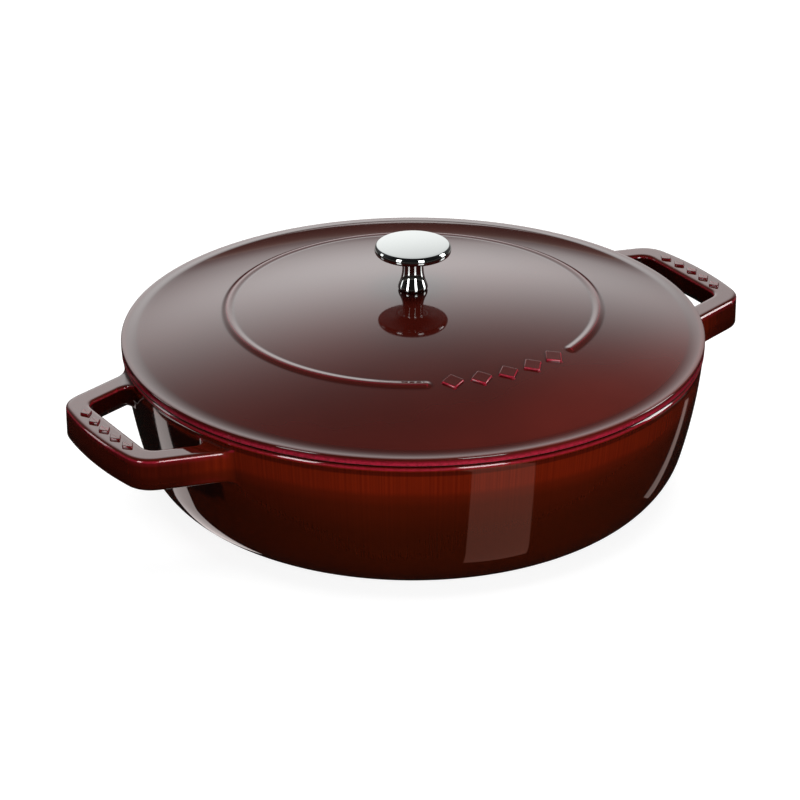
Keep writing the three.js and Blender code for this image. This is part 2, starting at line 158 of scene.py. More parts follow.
class KnobSizes(bpy.types.PropertyGroup):
    """Sizes of the turned knob"""

    cap_radius: length("Cap Radius", "Outside of the cap", KNOB_HIGH.x)
    cap_edge: length("Cap Edge", "Thickness of the cap at its edge", 4.3 * MM)
    cap_crown: length("Cap Crown", "How far the cap's middle stands above its edge", 0.4 * MM)
    cap_round: length("Cap Round", "Round of the cap's lower edge", 1.3 * MM)
    cap_crisp: length("Cap Crisp Round", "Round where the cap's side meets its top", 0.45 * MM)
    shoulder: length("Shoulder", "Arc on which the cap's side leans in", 3.6 * MM)
    shoulder_turn: angle("Shoulder Turn", "How far the side leans in at the top", 40)
    stem_radius: length("Stem Radius", "Neck of the stem", 5.3 * MM)
    stem_low: length("Stem Low", "Where the bell runs out into the stem, over the foot", 11.5 * MM)
    stem_high: length("Stem High", "Where the stem starts to flare into the cap, over the foot", 15.5 * MM)
    bell_radius: length("Bell Radius", "Widest part of the foot", 7.4 * MM)
    bell_high: length("Bell Height", "Height of the widest part over the foot", 1 * MM)
    bell_pull: length("Bell Pull", "Height to which the bell holds its width", 3.1 * MM)
    stem_pull: length("Stem Pull", "Height from which the stem holds its width", 5 * MM)
    foot_radius: length("Foot Radius", "Where the foot stands on the lid", 7.1 * MM)
    hole_deep: length("Hole Depth", "Depth of the tapped hole", 11 * MM)


class FastenerSizes(bpy.types.PropertyGroup):
    """Sizes of the screw and the two washers"""

    thread_radius: length("Thread Radius", "Outside of the screw's thread", 3 * MM)
    thread_pitch: length("Thread Pitch", "Rise of the thread in one turn", 1 * MM)
    head_high: length("Head Height", "Height of the screw's head", 3.6 * MM)
    head_round: length("Head Round", "Round of the screw's head", 1.7 * MM)
    slot_wide: length("Slot Width", "Width of the screwdriver's slot", 1.6 * MM)
    slot_deep: length("Slot Depth", "Depth of the screwdriver's slot", 1.8 * MM)
    spring_split: length("Spring Split", "Gap in the spring washer", 1.4 * MM)
    spring_radius: length("Spring Radius", "Outside of the spring washer", 5.8 * MM)


class Finishes(bpy.types.PropertyGroup):
    """Colours of the enamels and the metals"""

    lid_glaze: colour("Lid Glaze", "Thick glaze on the dome", (0.069, 0.0070, 0.0042))
    # The wall's glaze is darker low down and paler in the band under the rim, partly its own colour and
    # partly painted light and shade.
    wall_glaze_and_shade: colour("Wall Glaze", "Thick glaze low on the wall", (0.062, 0.0072, 0.0013))
    band_glaze_and_light: colour("Band Glaze", "Thinner glaze in the band under the rim", (0.190, 0.0138, 0.0026))
    edge_glaze: colour("Edge Glaze", "Glaze run thin over round edges", (0.600, 0.0160, 0.0530))
    # Gathered glaze, also used as painted shade in the finger gaps, on the handles and in the groove under
    # the lip.
    pooled_glaze_and_shade: colour("Pooled Glaze", "Glaze gathered in hollows", (0.016, 0.0022, 0.0014))
    black_enamel: colour("Black Enamel", "Enamel inside the pot and under the lid", (0.012, 0.0118, 0.0120))
    nickel: colour("Nickel", "Polished plate on the knob", (0.37, 0.387, 0.380))
    steel: colour("Steel", "Screw and washers", (0.50, 0.51, 0.52))


class StageSettings(bpy.types.PropertyGroup):
    """Camera, lights and floor"""

    azimuth: angle("Azimuth", "Turn of the camera about the pan", -32.8)
    elevation: angle("Elevation", "Height of the camera seen from the middle of the lid's seat", 24.568)
    distance: length("Distance", "From the camera to the middle of the lid's seat", 1652.74 * MM)
    pitch: angle("Pitch", "How far the camera looks down", 25.682)
    yaw: angle("Yaw", "How far the camera looks aside", -0.249)
    roll: angle("Roll", "How far the camera leans", -0.15)
    lens: plain("Lens", "Focal length in millimetres on a 36 mm sensor", 149.24)
    ambient: plain("Ambient", "Even light from all round", 0.14)
    glow: plain("Glow", "Brightness of the soft light behind the pan", 2.04)


# Raised lozenges: how many in a row, the rounds of their corners and top edges, and an inset on top.
MARK_COUNT = 5
MARK_CORNER, MARK_EDGE, MARK_INSET = 0.8 * MM, 0.45 * MM, 0.2 * MM
# Steps of each spun piece round the axis, and the angle up to which faces shade smooth.
POT_TURNS = 480
LID_TURNS = 480
KNOB_TURNS = 128
FASTENER_TURNS = 72
SMOOTH_BELOW = radians(42)

# The opening that a handle's root takes in the wall, counted in columns from the handle's middle.
POT_COLUMN = tau / POT_TURNS
ROOT_NEAR, ROOT_FAR = 16, 30
ROOT_ROWS = 12
ROOT_LOW, ROOT_TOP = 51.6 * MM, 73.2 * MM
ROOT_SLIDE, ROOT_SLIDE_BELOW = 6 * MM, 22 * MM
ROOT_RINGS = 10
ROOT_CURVE_SHARE = 0.72
ROOT_LEAVE = 1.25
ROOT_TURN = radians(15.8)
# The handle's rings: clear of the root, in half a rounded corner, along the arm, its corner and the grip.
ARM_CLEAR = 10 * MM
CORNER_HALF = 3
ARM_STATIONS, CORNER_STATIONS, GRIP_STATIONS = 4, 12, 12
# Where the grip starts, as a share of the corner's turn, and the part of it up to which its reach grows.
GRIP_START, GRIP_FULL = 0.66, 0.5
# Halvings that find the handle's outer corner.
HALVINGS = 50
# Round of the pot's inner rim, the crease under its lip, and how deep the rim's top face goes.
INNER_RIM_ROUND = 1.5 * MM
CREASE_PROUD, CREASE_LEVEL, CREASE_TURN = 0.02 * MM, 0.9, 4
RIM_FACE = 0.5 * MM
# Limits of a normal's height for faces that look up, for a nub's end and for the lid's underside.
TOP_FACE, END_FACE, UNDER_FACE = 0.5, -0.9, -0.35

# Curvature, per metre, from which glaze runs thin over a crest or gathers in a hollow, how many edges
# far that spreads, and how much gathers.
CREST, HOLLOW = (150, 450), (60, 380)
CREST_ROUNDS, HOLLOW_ROUNDS = 1, 4
HOLLOW_SHARE = 0.8
# Glaze on the pot, each pair from none to full: faces that look up or down, the radius where a handle
# starts, the height of the lip, and the depths under the handle's top where its gap's painted shade and its
# sides start.
FACING_UP, FACING_DOWN = (0.25, 0.75), (-0.15, 0.25)
HANDLE_START = (148 * MM, 168 * MM)
LIP_START = (73 * MM, 74 * MM)
GAP_SHADE_START = (0.6 * MM, 1.6 * MM)
SIDE_START = (1.1 * MM, 2.6 * MM)
# Space of a finger gap that is painted dark as shade: margin, and its limits at the wall and below.
GAP_SHADE_MARGIN = 2 * MM
GAP_SHADE_WALL, GAP_SHADE_FLOOR = 125 * MM, 40 * MM
# Shares by which the lip and the lozenges' sides lose their thin glaze, and the lowest height of these sides.
LIP_COVER, MARK_COVER = 0.3, 0.5
MARK_FOOT = 0.15 * MM
# Shares of thick glaze on faces that look up, and of painted shade on the handles and more on their
# undersides.
TOP_THICK, HANDLE_SHADE, UNDERSIDE_SHADE = 0.74, 0.62, 0.2
# Glaze on the lid: heights over the seat that are covered, and distances in from the edge of its hollow.
EDGE_COVERED = (1.4 * MM, 2.9 * MM)
BAND_HOLLOW_START, BAND_HOLLOW_END = (2 * MM, 3 * MM), (7 * MM, 9 * MM)
BAND_THICK = 0.45
# Faces of the lid's beads that look outwards, and the shares of thin glaze off and on them.
OUTWARD = (0.2, 0.4)
OFF_FLANK, ON_FLANK = 0.1, 0.8

# Rows of the raised ring's section, in millimetres from its middle, and plainer rows on both sides.
BEAD_ROWS = (0, 0.4, 0.8, 1.2, 1.6, 2, 2.4, 2.8, 3.1, 3.4, 3.9)
BEAD_BEFORE, BEAD_AFTER = 7 * MM, 5 * MM
# Columns that are cut into an end of the ring: the first and last offset, their count and width.
END_CUTS = (-0.4 * MM, 3.8 * MM, 12)
CUT_HALF = 1.5 * tau / LID_TURNS
# Rounds under the lid: edge, seat, the locating ring's foot and its root, and the chamfer of pad and holes.
LOWER_ROUND, SEAT_FILLET, LOCATOR_ROUND = 0.4 * MM, 0.8 * MM, 1 * MM
LOCATOR_FILLET, FILLET_LOW, FILLET_PULL = 3 * MM, 2.5 * MM, 0.6 * MM
CHAMFER = 0.4 * MM
# Basting nubs: rings as radius and count, the tip's radius and round, and the wider end in the dome.
NUB_RINGS = ((40 * MM, 8), (75 * MM, 14), (108 * MM, 20))
NUB_TIP, NUB_SOFT, NUB_FLARE = 1.1 * MM, 0.8 * MM, 1.25


def share(low, high, value):
    """How far a value is from low to high, eased at both ends."""
    part = min(max((value - low) / (high - low), 0), 1)
    return part * part * (3 - 2 * part)


def steps(start, end, count):
    """Evenly spaced numbers, both ends included."""
    return [start + (end - start) * i / count for i in range(count + 1)]


def arc(centre, radius, start, end, count):
    """Points of an arc, angles in degrees, both ends included."""
    turns = [radians(a) for a in steps(start, end, count)]
    return [(centre[0] + radius * cos(a), centre[1] + radius * sin(a)) for a in turns]


def bezier(points, count):
    """Points of a Bezier curve of any order, both ends included."""
    row = []
    for t in steps(0, 1, count):
        level = [Vector(p) for p in points]
        while len(level) > 1:
            level = [a.lerp(b, t) for a, b in zip(level, level[1:])]
        row.append(level[0])
    return row


def clear_selection():
    """Leaves edit mode and deselects every object."""
    if bpy.context.object and bpy.context.object.mode != "OBJECT":
        bpy.ops.object.mode_set(mode="OBJECT")
    bpy.ops.object.select_all(action="DESELECT")


def pick(piece):
    """Makes a piece the only selected object."""
    clear_selection()
    piece.select_set(True)
    bpy.context.view_layer.objects.active = piece


def named(name):
    """Names the object that has just been added."""
    piece = bpy.context.object
    piece.name = name
    piece.data.name = name
    return piece


def draw_section(name, points):
    """Merges a small plane to one point and extrudes that point along a half section."""
    clear_selection()
    bpy.ops.mesh.primitive_plane_add(size=MM, location=(0, 0, 0))
    piece = named(name)
    bpy.ops.object.mode_set(mode="EDIT")
    bpy.ops.mesh.merge(type="CENTER")
    bpy.ops.transform.translate(value=(points[0][0], 0, points[0][1]))
    for (x0, z0), (x1, z1) in zip(points, points[1:]):
        bpy.ops.mesh.extrude_region_move(TRANSFORM_OT_translate={"value": (x1 - x0, 0, z1 - z0)})
    return piece


def close_mesh():
    """Merges doubles and turns all faces outwards."""
    bpy.ops.mesh.select_all(action="SELECT")
    bpy.ops.mesh.remove_doubles(threshold=WELD)
    bpy.ops.mesh.normals_make_consistent(inside=False)


def spin_section(name, points, turns):
    """Spins a half section about the pan's axis."""
    piece = draw_section(name, points)
    bpy.ops.mesh.select_all(action="SELECT")
    bpy.ops.mesh.spin(steps=turns, angle=tau, center=(0, 0, 0), axis=(0, 0, 1))
    close_mesh()
    bpy.ops.object.mode_set(mode="OBJECT")
    return piece


def check_closed(piece):
    """Stops the script where a piece has an open or a doubled edge."""
    mesh = bmesh.new()
    mesh.from_mesh(piece.data)
    faults = sum(not edge.is_manifold for edge in mesh.edges)
    mesh.free()
    if faults:
        raise RuntimeError(f"{piece.name} has {faults} open edges")


def join(piece, *others):
    """Joins other objects into a piece."""
    pick(piece)
    for other in others:
        other.select_set(True)
    bpy.ops.object.join()


def copy_of(piece, matrix):
    """A copy with its own mesh, moved in its mesh."""
    twin = piece.copy()
    twin.data = piece.data.copy()
    twin.data.transform(matrix)
    bpy.context.collection.objects.link(twin)
    return twin


def cut_or_join(piece, tool, operation):
    """Applies a Boolean modifier and removes its tool."""
    pick(piece)
    bpy.ops.object.modifier_add(type="BOOLEAN")
    modifier = piece.modifiers[-1]
    modifier.operation = operation
    modifier.solver = "EXACT"
    modifier.object = tool
    bpy.ops.object.modifier_apply(modifier=modifier.name)
    bpy.data.objects.remove(tool, do_unlink=True)


def select_faces(piece, test):
    """Selects, in edit mode, the faces that pass a test."""
    bpy.ops.mesh.select_all(action="DESELECT")
    bpy.ops.mesh.select_mode(type="FACE")
    mesh = bmesh.from_edit_mesh(piece.data)
    for face in mesh.faces:
        face.select_set(test(face))
    bmesh.update_edit_mesh(piece.data)


def lozenge(along, across, high, sunk):
    """A raised lozenge with rounded corners and soft top edges, long side along Y."""
    clear_selection()
    bpy.ops.mesh.primitive_circle_add(vertices=4, radius=1, fill_type="NGON", location=(0, 0, 0))
    mark = named("mark")
    bpy.ops.object.mode_set(mode="EDIT")
    bpy.ops.transform.resize(value=(across, along, 1))
    bpy.ops.transform.translate(value=(0, 0, -sunk))
    bpy.ops.mesh.bevel(offset=MARK_CORNER, segments=4, affect="VERTICES")
    bpy.ops.mesh.select_all(action="SELECT")
    bpy.ops.mesh.extrude_region_move(TRANSFORM_OT_translate={"value": (0, 0, sunk + high)})
    bpy.ops.mesh.bevel(offset=MARK_EDGE, segments=4, affect="EDGES")
    select_faces(mark, lambda face: face.calc_center_median().z > high - WELD)
    bpy.ops.mesh.inset(thickness=MARK_INSET)
    bpy.ops.mesh.select_mode(type="VERT")
    close_mesh()
    bpy.ops.object.mode_set(mode="OBJECT")
    return mark


def row_of_marks(mark, radius, step, height, tilt, middle):
    """Copies of a lozenge in a row along an arc."""
    row = []
    for i in range(MARK_COUNT):
        turn = middle + (i - (MARK_COUNT - 1) / 2) * step / radius
        place = (Matrix.Rotation(turn, 4, "Z") @ Matrix.Translation((radius, 0, height))
                 @ Matrix.Rotation(tilt, 4, "Y"))
        row.append(copy_of(mark, place))
    return row


def spread(values, ends, rounds):
    """Lets a value per vertex run out along the edges."""
    first, second = ends
    count = np.bincount(np.concatenate(ends), minlength=len(values))
    for _ in range(rounds):
        total = np.bincount(first, values[second], len(values))
        total += np.bincount(second, values[first], len(values))
        values = 0.5 * values + 0.5 * total / np.maximum(count, 1)
    return values


def eased(values, low, high):
    """The eased share of each value between two limits."""
    part = np.clip((values - low) / (high - low), 0, 1)
    return part * part * (3 - 2 * part)


def triples(source, name):
    """Three numbers of each item, one row for each."""
    values = np.empty(3 * len(source))
    source.foreach_get(name, values)
    return values.reshape(-1, 3)


def note_glaze(piece, revise):
    """Keeps on each vertex how thin the glaze runs over an edge, and how thick it stands in a hollow together
    with the painted shade that revise adds.
    """
    mesh = piece.data
    count = len(mesh.vertices)
    places = triples(mesh.vertices, "co")
    normals = triples(mesh.vertex_normals, "vector")
    ends = np.empty(2 * len(mesh.edges), dtype=np.int32)
    mesh.edges.foreach_get("vertices", ends)
    first, second = ends.reshape(-1, 2).T
    span = places[first] - places[second]
    square = np.maximum((span ** 2).sum(axis=1), WELD ** 2)
    round_first = 2 * (normals[first] * span).sum(axis=1) / square
    round_second = -2 * (normals[second] * span).sum(axis=1) / square
    crest, hollow = np.zeros(count), np.zeros(count)
    for end, bend in ((first, round_first), (second, round_second)):
        np.maximum.at(crest, end, bend)
        np.maximum.at(hollow, end, -bend)
    thin = spread(eased(crest, *CREST), (first, second), CREST_ROUNDS)
    pooled_and_shade = HOLLOW_SHARE * spread(eased(hollow, *HOLLOW), (first, second), HOLLOW_ROUNDS)
    thin, pooled_and_shade = revise(places, normals, thin, pooled_and_shade)
    for name, level in (("glaze_thin", thin), ("glaze_pooled_and_shade", pooled_and_shade)):
        attribute = mesh.attributes.new(name, "FLOAT", "POINT")
        attribute.data.foreach_set("value", level.astype(np.float32))


def dress(piece, body, node, materials, second=None):
    """Shades a piece, gives it its materials, hangs it on its body and hides its CAD node."""
    pick(piece)
    bpy.ops.object.shade_smooth_by_angle(angle=SMOOTH_BELOW)
    for material in materials:
        piece.data.materials.append(material)
    if second:
        for face in piece.data.polygons:
            face.material_index = int(second(face.center, face.normal))
    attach(piece, body)
    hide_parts(node)


def wall_radius(pot, height, inset=0.0):
    """Radius of the foot's and the wall's outer face, or of a face inside it, at a height."""
    round_inside = pot.foot_round - inset
    if height < pot.foot_round - round_inside * sin(pot.foot_lean):
        return pot.base_radius + sqrt(max(round_inside ** 2 - (pot.foot_round - height) ** 2, 0))
    lever = pot.foot_round - pot.wall_arc
    middle = pot.base_radius + lever * cos(pot.foot_lean)
    level = pot.foot_round - lever * sin(pot.foot_lean)
    return middle + sqrt((pot.wall_arc - inset) ** 2 - (height - level) ** 2)


def slid(turn, height):
    """Height of a point of the wall after its rows are slid up under the finger gaps."""
    aside = 1 - share(ROOT_NEAR * POT_COLUMN, ROOT_FAR * POT_COLUMN, turn)
    below = share(ROOT_LOW - ROOT_SLIDE_BELOW, ROOT_LOW, height)
    above = min(max((ROOT_TOP - height) / (ROOT_TOP - ROOT_LOW), 0), 1)
    return height + ROOT_SLIDE * aside * min(below, above)


def pot_section(pot):
    """Half section of the pot: base, foot, wall and lip outside, then the inside down to the floor."""
    lean = degrees(pot.foot_lean)
    centre = (pot.base_radius, pot.foot_round)
    wall_start = pot.foot_round * (1 - sin(pot.foot_lean))
    lip_level = pot.rim_high - pot.lip_round
    lip = (wall_radius(pot, ROOT_TOP) + pot.lip_proud - pot.lip_round, lip_level)
    inner = (wall_radius(pot, lip_level, pot.wall_thick) + INNER_RIM_ROUND, pot.rim_high - INNER_RIM_ROUND)
    inner_start = pot.foot_round - (pot.foot_round - pot.wall_thick) * sin(pot.foot_lean)
    points = [(0, 0), (pot.base_radius / 2, 0)]
    points += arc(centre, pot.foot_round, -90, -lean, 24)
    points += [(wall_radius(pot, z), z) for z in steps(wall_start, ROOT_LOW, 12)[1:]]
    points += [(wall_radius(pot, z), z) for z in steps(ROOT_LOW, ROOT_TOP, ROOT_ROWS)[1:]]
    crease = degrees(acos(1 - pot.lip_proud / pot.lip_round))
    points += [(wall_radius(pot, lip_level - pot.lip_round) + CREASE_PROUD,
                lip_level - CREASE_LEVEL * pot.lip_round)]
    points += arc(lip, pot.lip_round, CREASE_TURN - crease, 90, 12)
    points += arc(inner, INNER_RIM_ROUND, 90, 180, 7)
    points += [(wall_radius(pot, z, pot.wall_thick), z) for z in steps(inner[1], inner_start, 14)[1:]]
    points += arc(centre, pot.foot_round - pot.wall_thick, -lean, -90, 14)[1:]
    points += [(pot.base_radius / 2, pot.wall_thick), (0, pot.wall_thick)]
    return points


def rounded_corner(before, corner, after, rounding):
    """Start, corner and end of a rounded corner."""
    back = (before - corner).normalized()
    ahead = (after - corner).normalized()
    reach = rounding / sqrt((1 - back.dot(ahead)) / (1 + back.dot(ahead)))
    return corner + back * reach, corner, corner + ahead * reach


def handle_stations(pot, handle):
    """Inner and outer plan points of the handle from one arm to the middle of the grip."""
    out = Vector((1, -handle.arm_taper)).normalized()
    across = Vector((-out.y, out.x))

    def line(half, x):
        """Point of an arm's side at an x."""
        return Vector((x, half - handle.arm_taper * (x - handle.arm_mid)))

    low, high = handle.arm_mid, handle.reach
    for _ in range(HALVINGS):
        corner_x = (low + high) / 2
        if line(handle.arm_outside, corner_x).length < handle.reach:
            low = corner_x
        else:
            high = corner_x
    outer_corner = line(handle.arm_outside, corner_x)
    inner_x = handle.reach - handle.grip_wide
    inner_corner = line(handle.arm_inside, inner_x)
    corner_turn = atan2(outer_corner.y, outer_corner.x)
    grip_turn = GRIP_START * corner_turn
    grip_start = handle.reach * Vector((cos(grip_turn), sin(grip_turn)))
    outer = rounded_corner(line(handle.arm_outside, handle.arm_mid), outer_corner, grip_start,
                           handle.corner_out)
    inner = rounded_corner(line(handle.arm_inside, handle.arm_mid), inner_corner, Vector((inner_x, 0)),
                           handle.corner_in)
    root_x = wall_radius(pot, (ROOT_LOW + ROOT_TOP) / 2) * cos(ROOT_TURN)
    inner_first = line(handle.arm_inside, root_x) + out * ARM_CLEAR
    width = (line(handle.arm_outside, 0) - line(handle.arm_inside, 0)).dot(across)
    outer_first = inner_first + across * width
    pairs = [(inner_first.lerp(inner[0], t), outer_first.lerp(outer[0], t))
             for t in steps(0, 1, ARM_STATIONS)]
    pairs += list(zip(bezier(inner, CORNER_STATIONS), bezier(outer, CORNER_STATIONS)))[1:]
    end_turn = atan2(outer[2].y, outer[2].x)
    for t in steps(0, 1, GRIP_STATIONS)[1:]:
        reach = outer[2].length + (handle.reach - outer[2].length) * share(0, GRIP_FULL, t)
        turn = end_turn * (1 - t)
        pairs.append((inner[2].lerp(Vector((inner_x, 0)), t), reach * Vector((cos(turn), sin(turn)))))
    return pairs, out


def rounded_ring(width, height, edge, flat_steps, side_steps):
    """Rounded rectangle from the middle of its outer top corner, over the top and round the inner side."""
    corners = (((width - edge, height - edge), 45), ((edge, height - edge), 135),
               ((edge, edge), 225), ((width - edge, edge), 315))
    ring = []
    for i, (centre, turn) in enumerate(corners):
        following = corners[(i + 1) % 4][0]
        count = flat_steps if i % 2 == 0 else side_steps
        first = arc(centre, edge, turn, turn + 45, CORNER_HALF)
        second = arc(following, edge, turn + 45, turn + 90, CORNER_HALF)
        row = [Vector(first[-1]).lerp(Vector(second[0]), t) for t in steps(0, 1, count)]
        ring += [Vector(p) for p in first[:-1]] + row[:-1] + [Vector(p) for p in second[:-1]]
    return ring


def root_opening(pot):
    """Points of the wall round a handle's root, in the order of the handle's rings."""
    turns = [i * POT_COLUMN for i in range(ROOT_FAR, ROOT_NEAR - 1, -1)]
    levels = steps(ROOT_TOP, ROOT_LOW, ROOT_ROWS)
    order = [(a, ROOT_TOP) for a in turns[:-1]]
    order += [(turns[-1], z) for z in levels[:-1]]
    order += [(a, ROOT_LOW) for a in turns[:0:-1]]
    order += [(turns[0], z) for z in levels[:0:-1]]
    order = [(a, slid(a, z)) for a, z in order]
    return [Vector((wall_radius(pot, z) * cos(a), wall_radius(pot, z) * sin(a), z)) for a, z in order]


def root_rings(pot, opening, first, out):
    """Rings of the fillet from the wall into the arm."""
    away = Vector((out.x, out.y, 0))
    paths = []
    for wall, arm in zip(opening, first):
        radius = wall_radius(pot, arm.z)
        along = arm.to_2d().dot(out)
        back = along - sqrt(along ** 2 - arm.to_2d().length_squared + radius ** 2)
        foot = arm - away * back
        lean = (wall_radius(pot, wall.z + MM) - wall_radius(pot, wall.z - MM)) / (2 * MM)
        normal = Vector((wall.x, wall.y, -lean * wall.to_2d().length)).normalized()
        foot -= normal * (foot - wall).dot(normal)
        leave = foot + away * min((arm - foot).dot(away), ROOT_LEAVE * (wall - foot).length)
        paths.append((wall, foot, leave, arm))
    rings = []
    for t in steps(0, 1, ROOT_RINGS)[:-1]:
        ring = []
        for wall, foot, leave, arm in paths:
            if t <= ROOT_CURVE_SHARE:
                s = t / ROOT_CURVE_SHARE
                ring.append(wall * (1 - s) ** 2 + foot * (2 * s * (1 - s)) + leave * s ** 2)
            else:
                ring.append(leave.lerp(arm, (t - ROOT_CURVE_SHARE) / (1 - ROOT_CURVE_SHARE)))
        rings.append(ring)
    return rings


def handle_rings(pot, handle):
    """All rings of a handle from one root round the grip to the other."""
    columns = ROOT_FAR - ROOT_NEAR
    pairs, out = handle_stations(pot, handle)
    half = []
    for inner, outer in pairs:
        width = (outer - inner).length
        side = (outer - inner).normalized()
        section = rounded_ring(width, handle.deep, handle.edge, columns - 2 * CORNER_HALF,
                               ROOT_ROWS - 2 * CORNER_HALF)
        low = handle.top - handle.deep
        straight = handle.deep - handle.edge
        ring = []
        for u, v in section:
            lift = (handle.deep - handle.gap_deep) * max(1 - u / handle.slope_wide, 0)
            v += lift * max(1 - v / straight, 0)
            ring.append(Vector((*(inner + side * u), low + v)))
        half.append(ring)
    half = root_rings(pot, root_opening(pot), half[0], out) + half
    other = [[Vector((p.x, -p.y, p.z)) for p in ring] for ring in half[-2::-1]]
    return half + other


def loop_handle(rings):
    """A circle that is shaped to the first ring and extruded from ring to ring."""
    clear_selection()
    bpy.ops.mesh.primitive_circle_add(vertices=len(rings[0]), radius=MM, fill_type="NOTHING",
                                      location=(0, 0, 0))
    loop = named("loop_handle")
    numbers = loop.data.attributes.new("ring_number", "INT", "POINT")
    numbers.data.foreach_set("value", range(len(rings[0])))
    bpy.ops.object.mode_set(mode="EDIT")
    bpy.ops.mesh.select_all(action="SELECT")
    for i, ring in enumerate(rings):
        if i:
            bpy.ops.mesh.extrude_region_move()
        mesh = bmesh.from_edit_mesh(loop.data)
        layer = mesh.verts.layers.int["ring_number"]
        for vertex in mesh.verts:
            if vertex.select:
                vertex.co = ring[vertex[layer]]
        bmesh.update_edit_mesh(loop.data)
    bpy.ops.object.mode_set(mode="OBJECT")
    loop.data.attributes.remove(loop.data.attributes["ring_number"])
    return loop


def open_roots(piece, pot):
    """Deletes the wall's faces where the four roots of the handles join it and slides its rows to them."""

    def turn_of(place):
        """Turn about the axis from the nearer handle's middle."""
        return atan2(abs(place.y), abs(place.x))

    def on_outside(place):
        """True on the wall's outer face."""
        return place.to_2d().length > wall_radius(pot, place.z, pot.wall_thick / 2)

    def in_root(face):
        """True where a root takes the place of the wall."""
        middle = face.calc_center_median()
        in_rows = ROOT_LOW < middle.z < ROOT_TOP
        in_columns = ROOT_NEAR * POT_COLUMN < turn_of(middle) < ROOT_FAR * POT_COLUMN
        return in_rows and in_columns and on_outside(middle)

    pick(piece)
    bpy.ops.object.mode_set(mode="EDIT")
    select_faces(piece, in_root)
    bpy.ops.mesh.delete(type="FACE")
    bpy.ops.mesh.select_mode(type="VERT")
    mesh = bmesh.from_edit_mesh(piece.data)
    for vertex in mesh.verts:
        place = vertex.co
        height = slid(turn_of(place), place.z)
        if height > place.z and on_outside(place):
            place.xy *= wall_radius(pot, height) / place.to_2d().length
            place.z = height
    bmesh.update_edit_mesh(piece.data)
    bpy.ops.object.mode_set(mode="OBJECT")


class PAN_OT_pot(bpy.types.Operator):
    """Model the pot casting with its two loop handles"""

    bl_idname = "pan.pot"
    bl_label = "Pot Casting"

    def execute(self, context):
        pot, handle, lid = context.scene.pan_pot, context.scene.pan_handle, context.scene.pan_lid
        piece = spin_section("pot_casting", pot_section(pot), POT_TURNS)
        open_roots(piece, pot)
        loop = loop_handle(handle_rings(pot, handle))
        far_loop = copy_of(loop, Matrix.Rotation(pi, 4, "Z"))
        join(piece, loop, far_loop)
        bpy.ops.object.mode_set(mode="EDIT")
        close_mesh()
        bpy.ops.object.mode_set(mode="OBJECT")
        check_closed(piece)
        mark = lozenge(handle.mark_along, handle.mark_across, lid.mark_high, lid.mark_high)
        marks = []
        for side in (0, pi):
            marks += row_of_marks(mark, handle.mark_radius, handle.mark_step, handle.top, 0, side)
        bpy.data.objects.remove(mark, do_unlink=True)
        join(*marks)
        cut_or_join(piece, marks[0], "UNION")

        def thick_glaze_and_shade_on_handles(places, normals, thin, pooled_and_shade):
            """Thick glaze on tops, painted shade on the handles, more on their undersides, and in their gaps;
            thin glaze only on their upper outer edges.
            """
            along, aside, height = np.abs(places[:, 0]), np.abs(places[:, 1]), places[:, 2]
            facing_up = eased(normals[:, 2], *FACING_UP)
            facing_down = eased(-normals[:, 2], *FACING_DOWN)
            on_handle = eased(np.hypot(along, aside), *HANDLE_START)
            on_lip = eased(height, *LIP_START)
            below = handle.top - height
            # Painted shade: the finger gaps, from just under the handle's top down, are painted dark with the
            # pooled colour as if shaded.
            half_gap = handle.arm_inside - handle.arm_taper * (along - handle.arm_mid) + GAP_SHADE_MARGIN
            gap_shade = (aside < half_gap) & (along < handle.reach - handle.grip_wide + GAP_SHADE_MARGIN)
            gap_shade = gap_shade & (along > GAP_SHADE_WALL) & (height > GAP_SHADE_FLOOR)
            gap_shade = gap_shade * eased(below, *GAP_SHADE_START)
            low_side = on_handle * np.maximum(eased(below, *SIDE_START), MARK_COVER * (below < -MARK_FOOT))
            thin = thin * (1 - facing_up) * (1 - facing_down) * (1 - LIP_COVER * on_lip)
            thin = thin * (1 - gap_shade) * (1 - low_side)
            # Painted shade: the handles are painted darker, and more on their undersides, as if shaded.
            thick = on_handle * (HANDLE_SHADE + UNDERSIDE_SHADE * facing_down)
            for more in (TOP_THICK * facing_up, gap_shade, thick):
                pooled_and_shade = np.maximum(pooled_and_shade, more)
            return thin, pooled_and_shade

        note_glaze(piece, thick_glaze_and_shade_on_handles)
        finishes = context.scene.pan_finishes

        def inside(middle, normal):
            """True on the black faces of the pot."""
            radius = middle.to_2d().length
            if middle.z > pot.rim_high - RIM_FACE:
                return radius < wall_radius(pot, ROOT_TOP) - pot.lip_round
            return middle.z > pot.wall_thick / 2 and radius < wall_radius(pot, middle.z, pot.wall_thick / 2)

        dress(piece, "pot", "pot_body",
              (wall_glaze_and_shade_material(finishes), black_enamel_material(finishes)), inside)
        return {"FINISHED"}


def dome_height(lid, radius, inset=0.0):
    """Height of the dome, or of a face under it, at a radius."""
    return lid.seat + lid.rise - lid.dome_arc + sqrt((lid.dome_arc - inset) ** 2 - radius ** 2)


def aside_of(place, turn):
    """Turn of a place about the axis, counted from another turn."""
    return (atan2(place.y, place.x) - turn + pi) % tau - pi


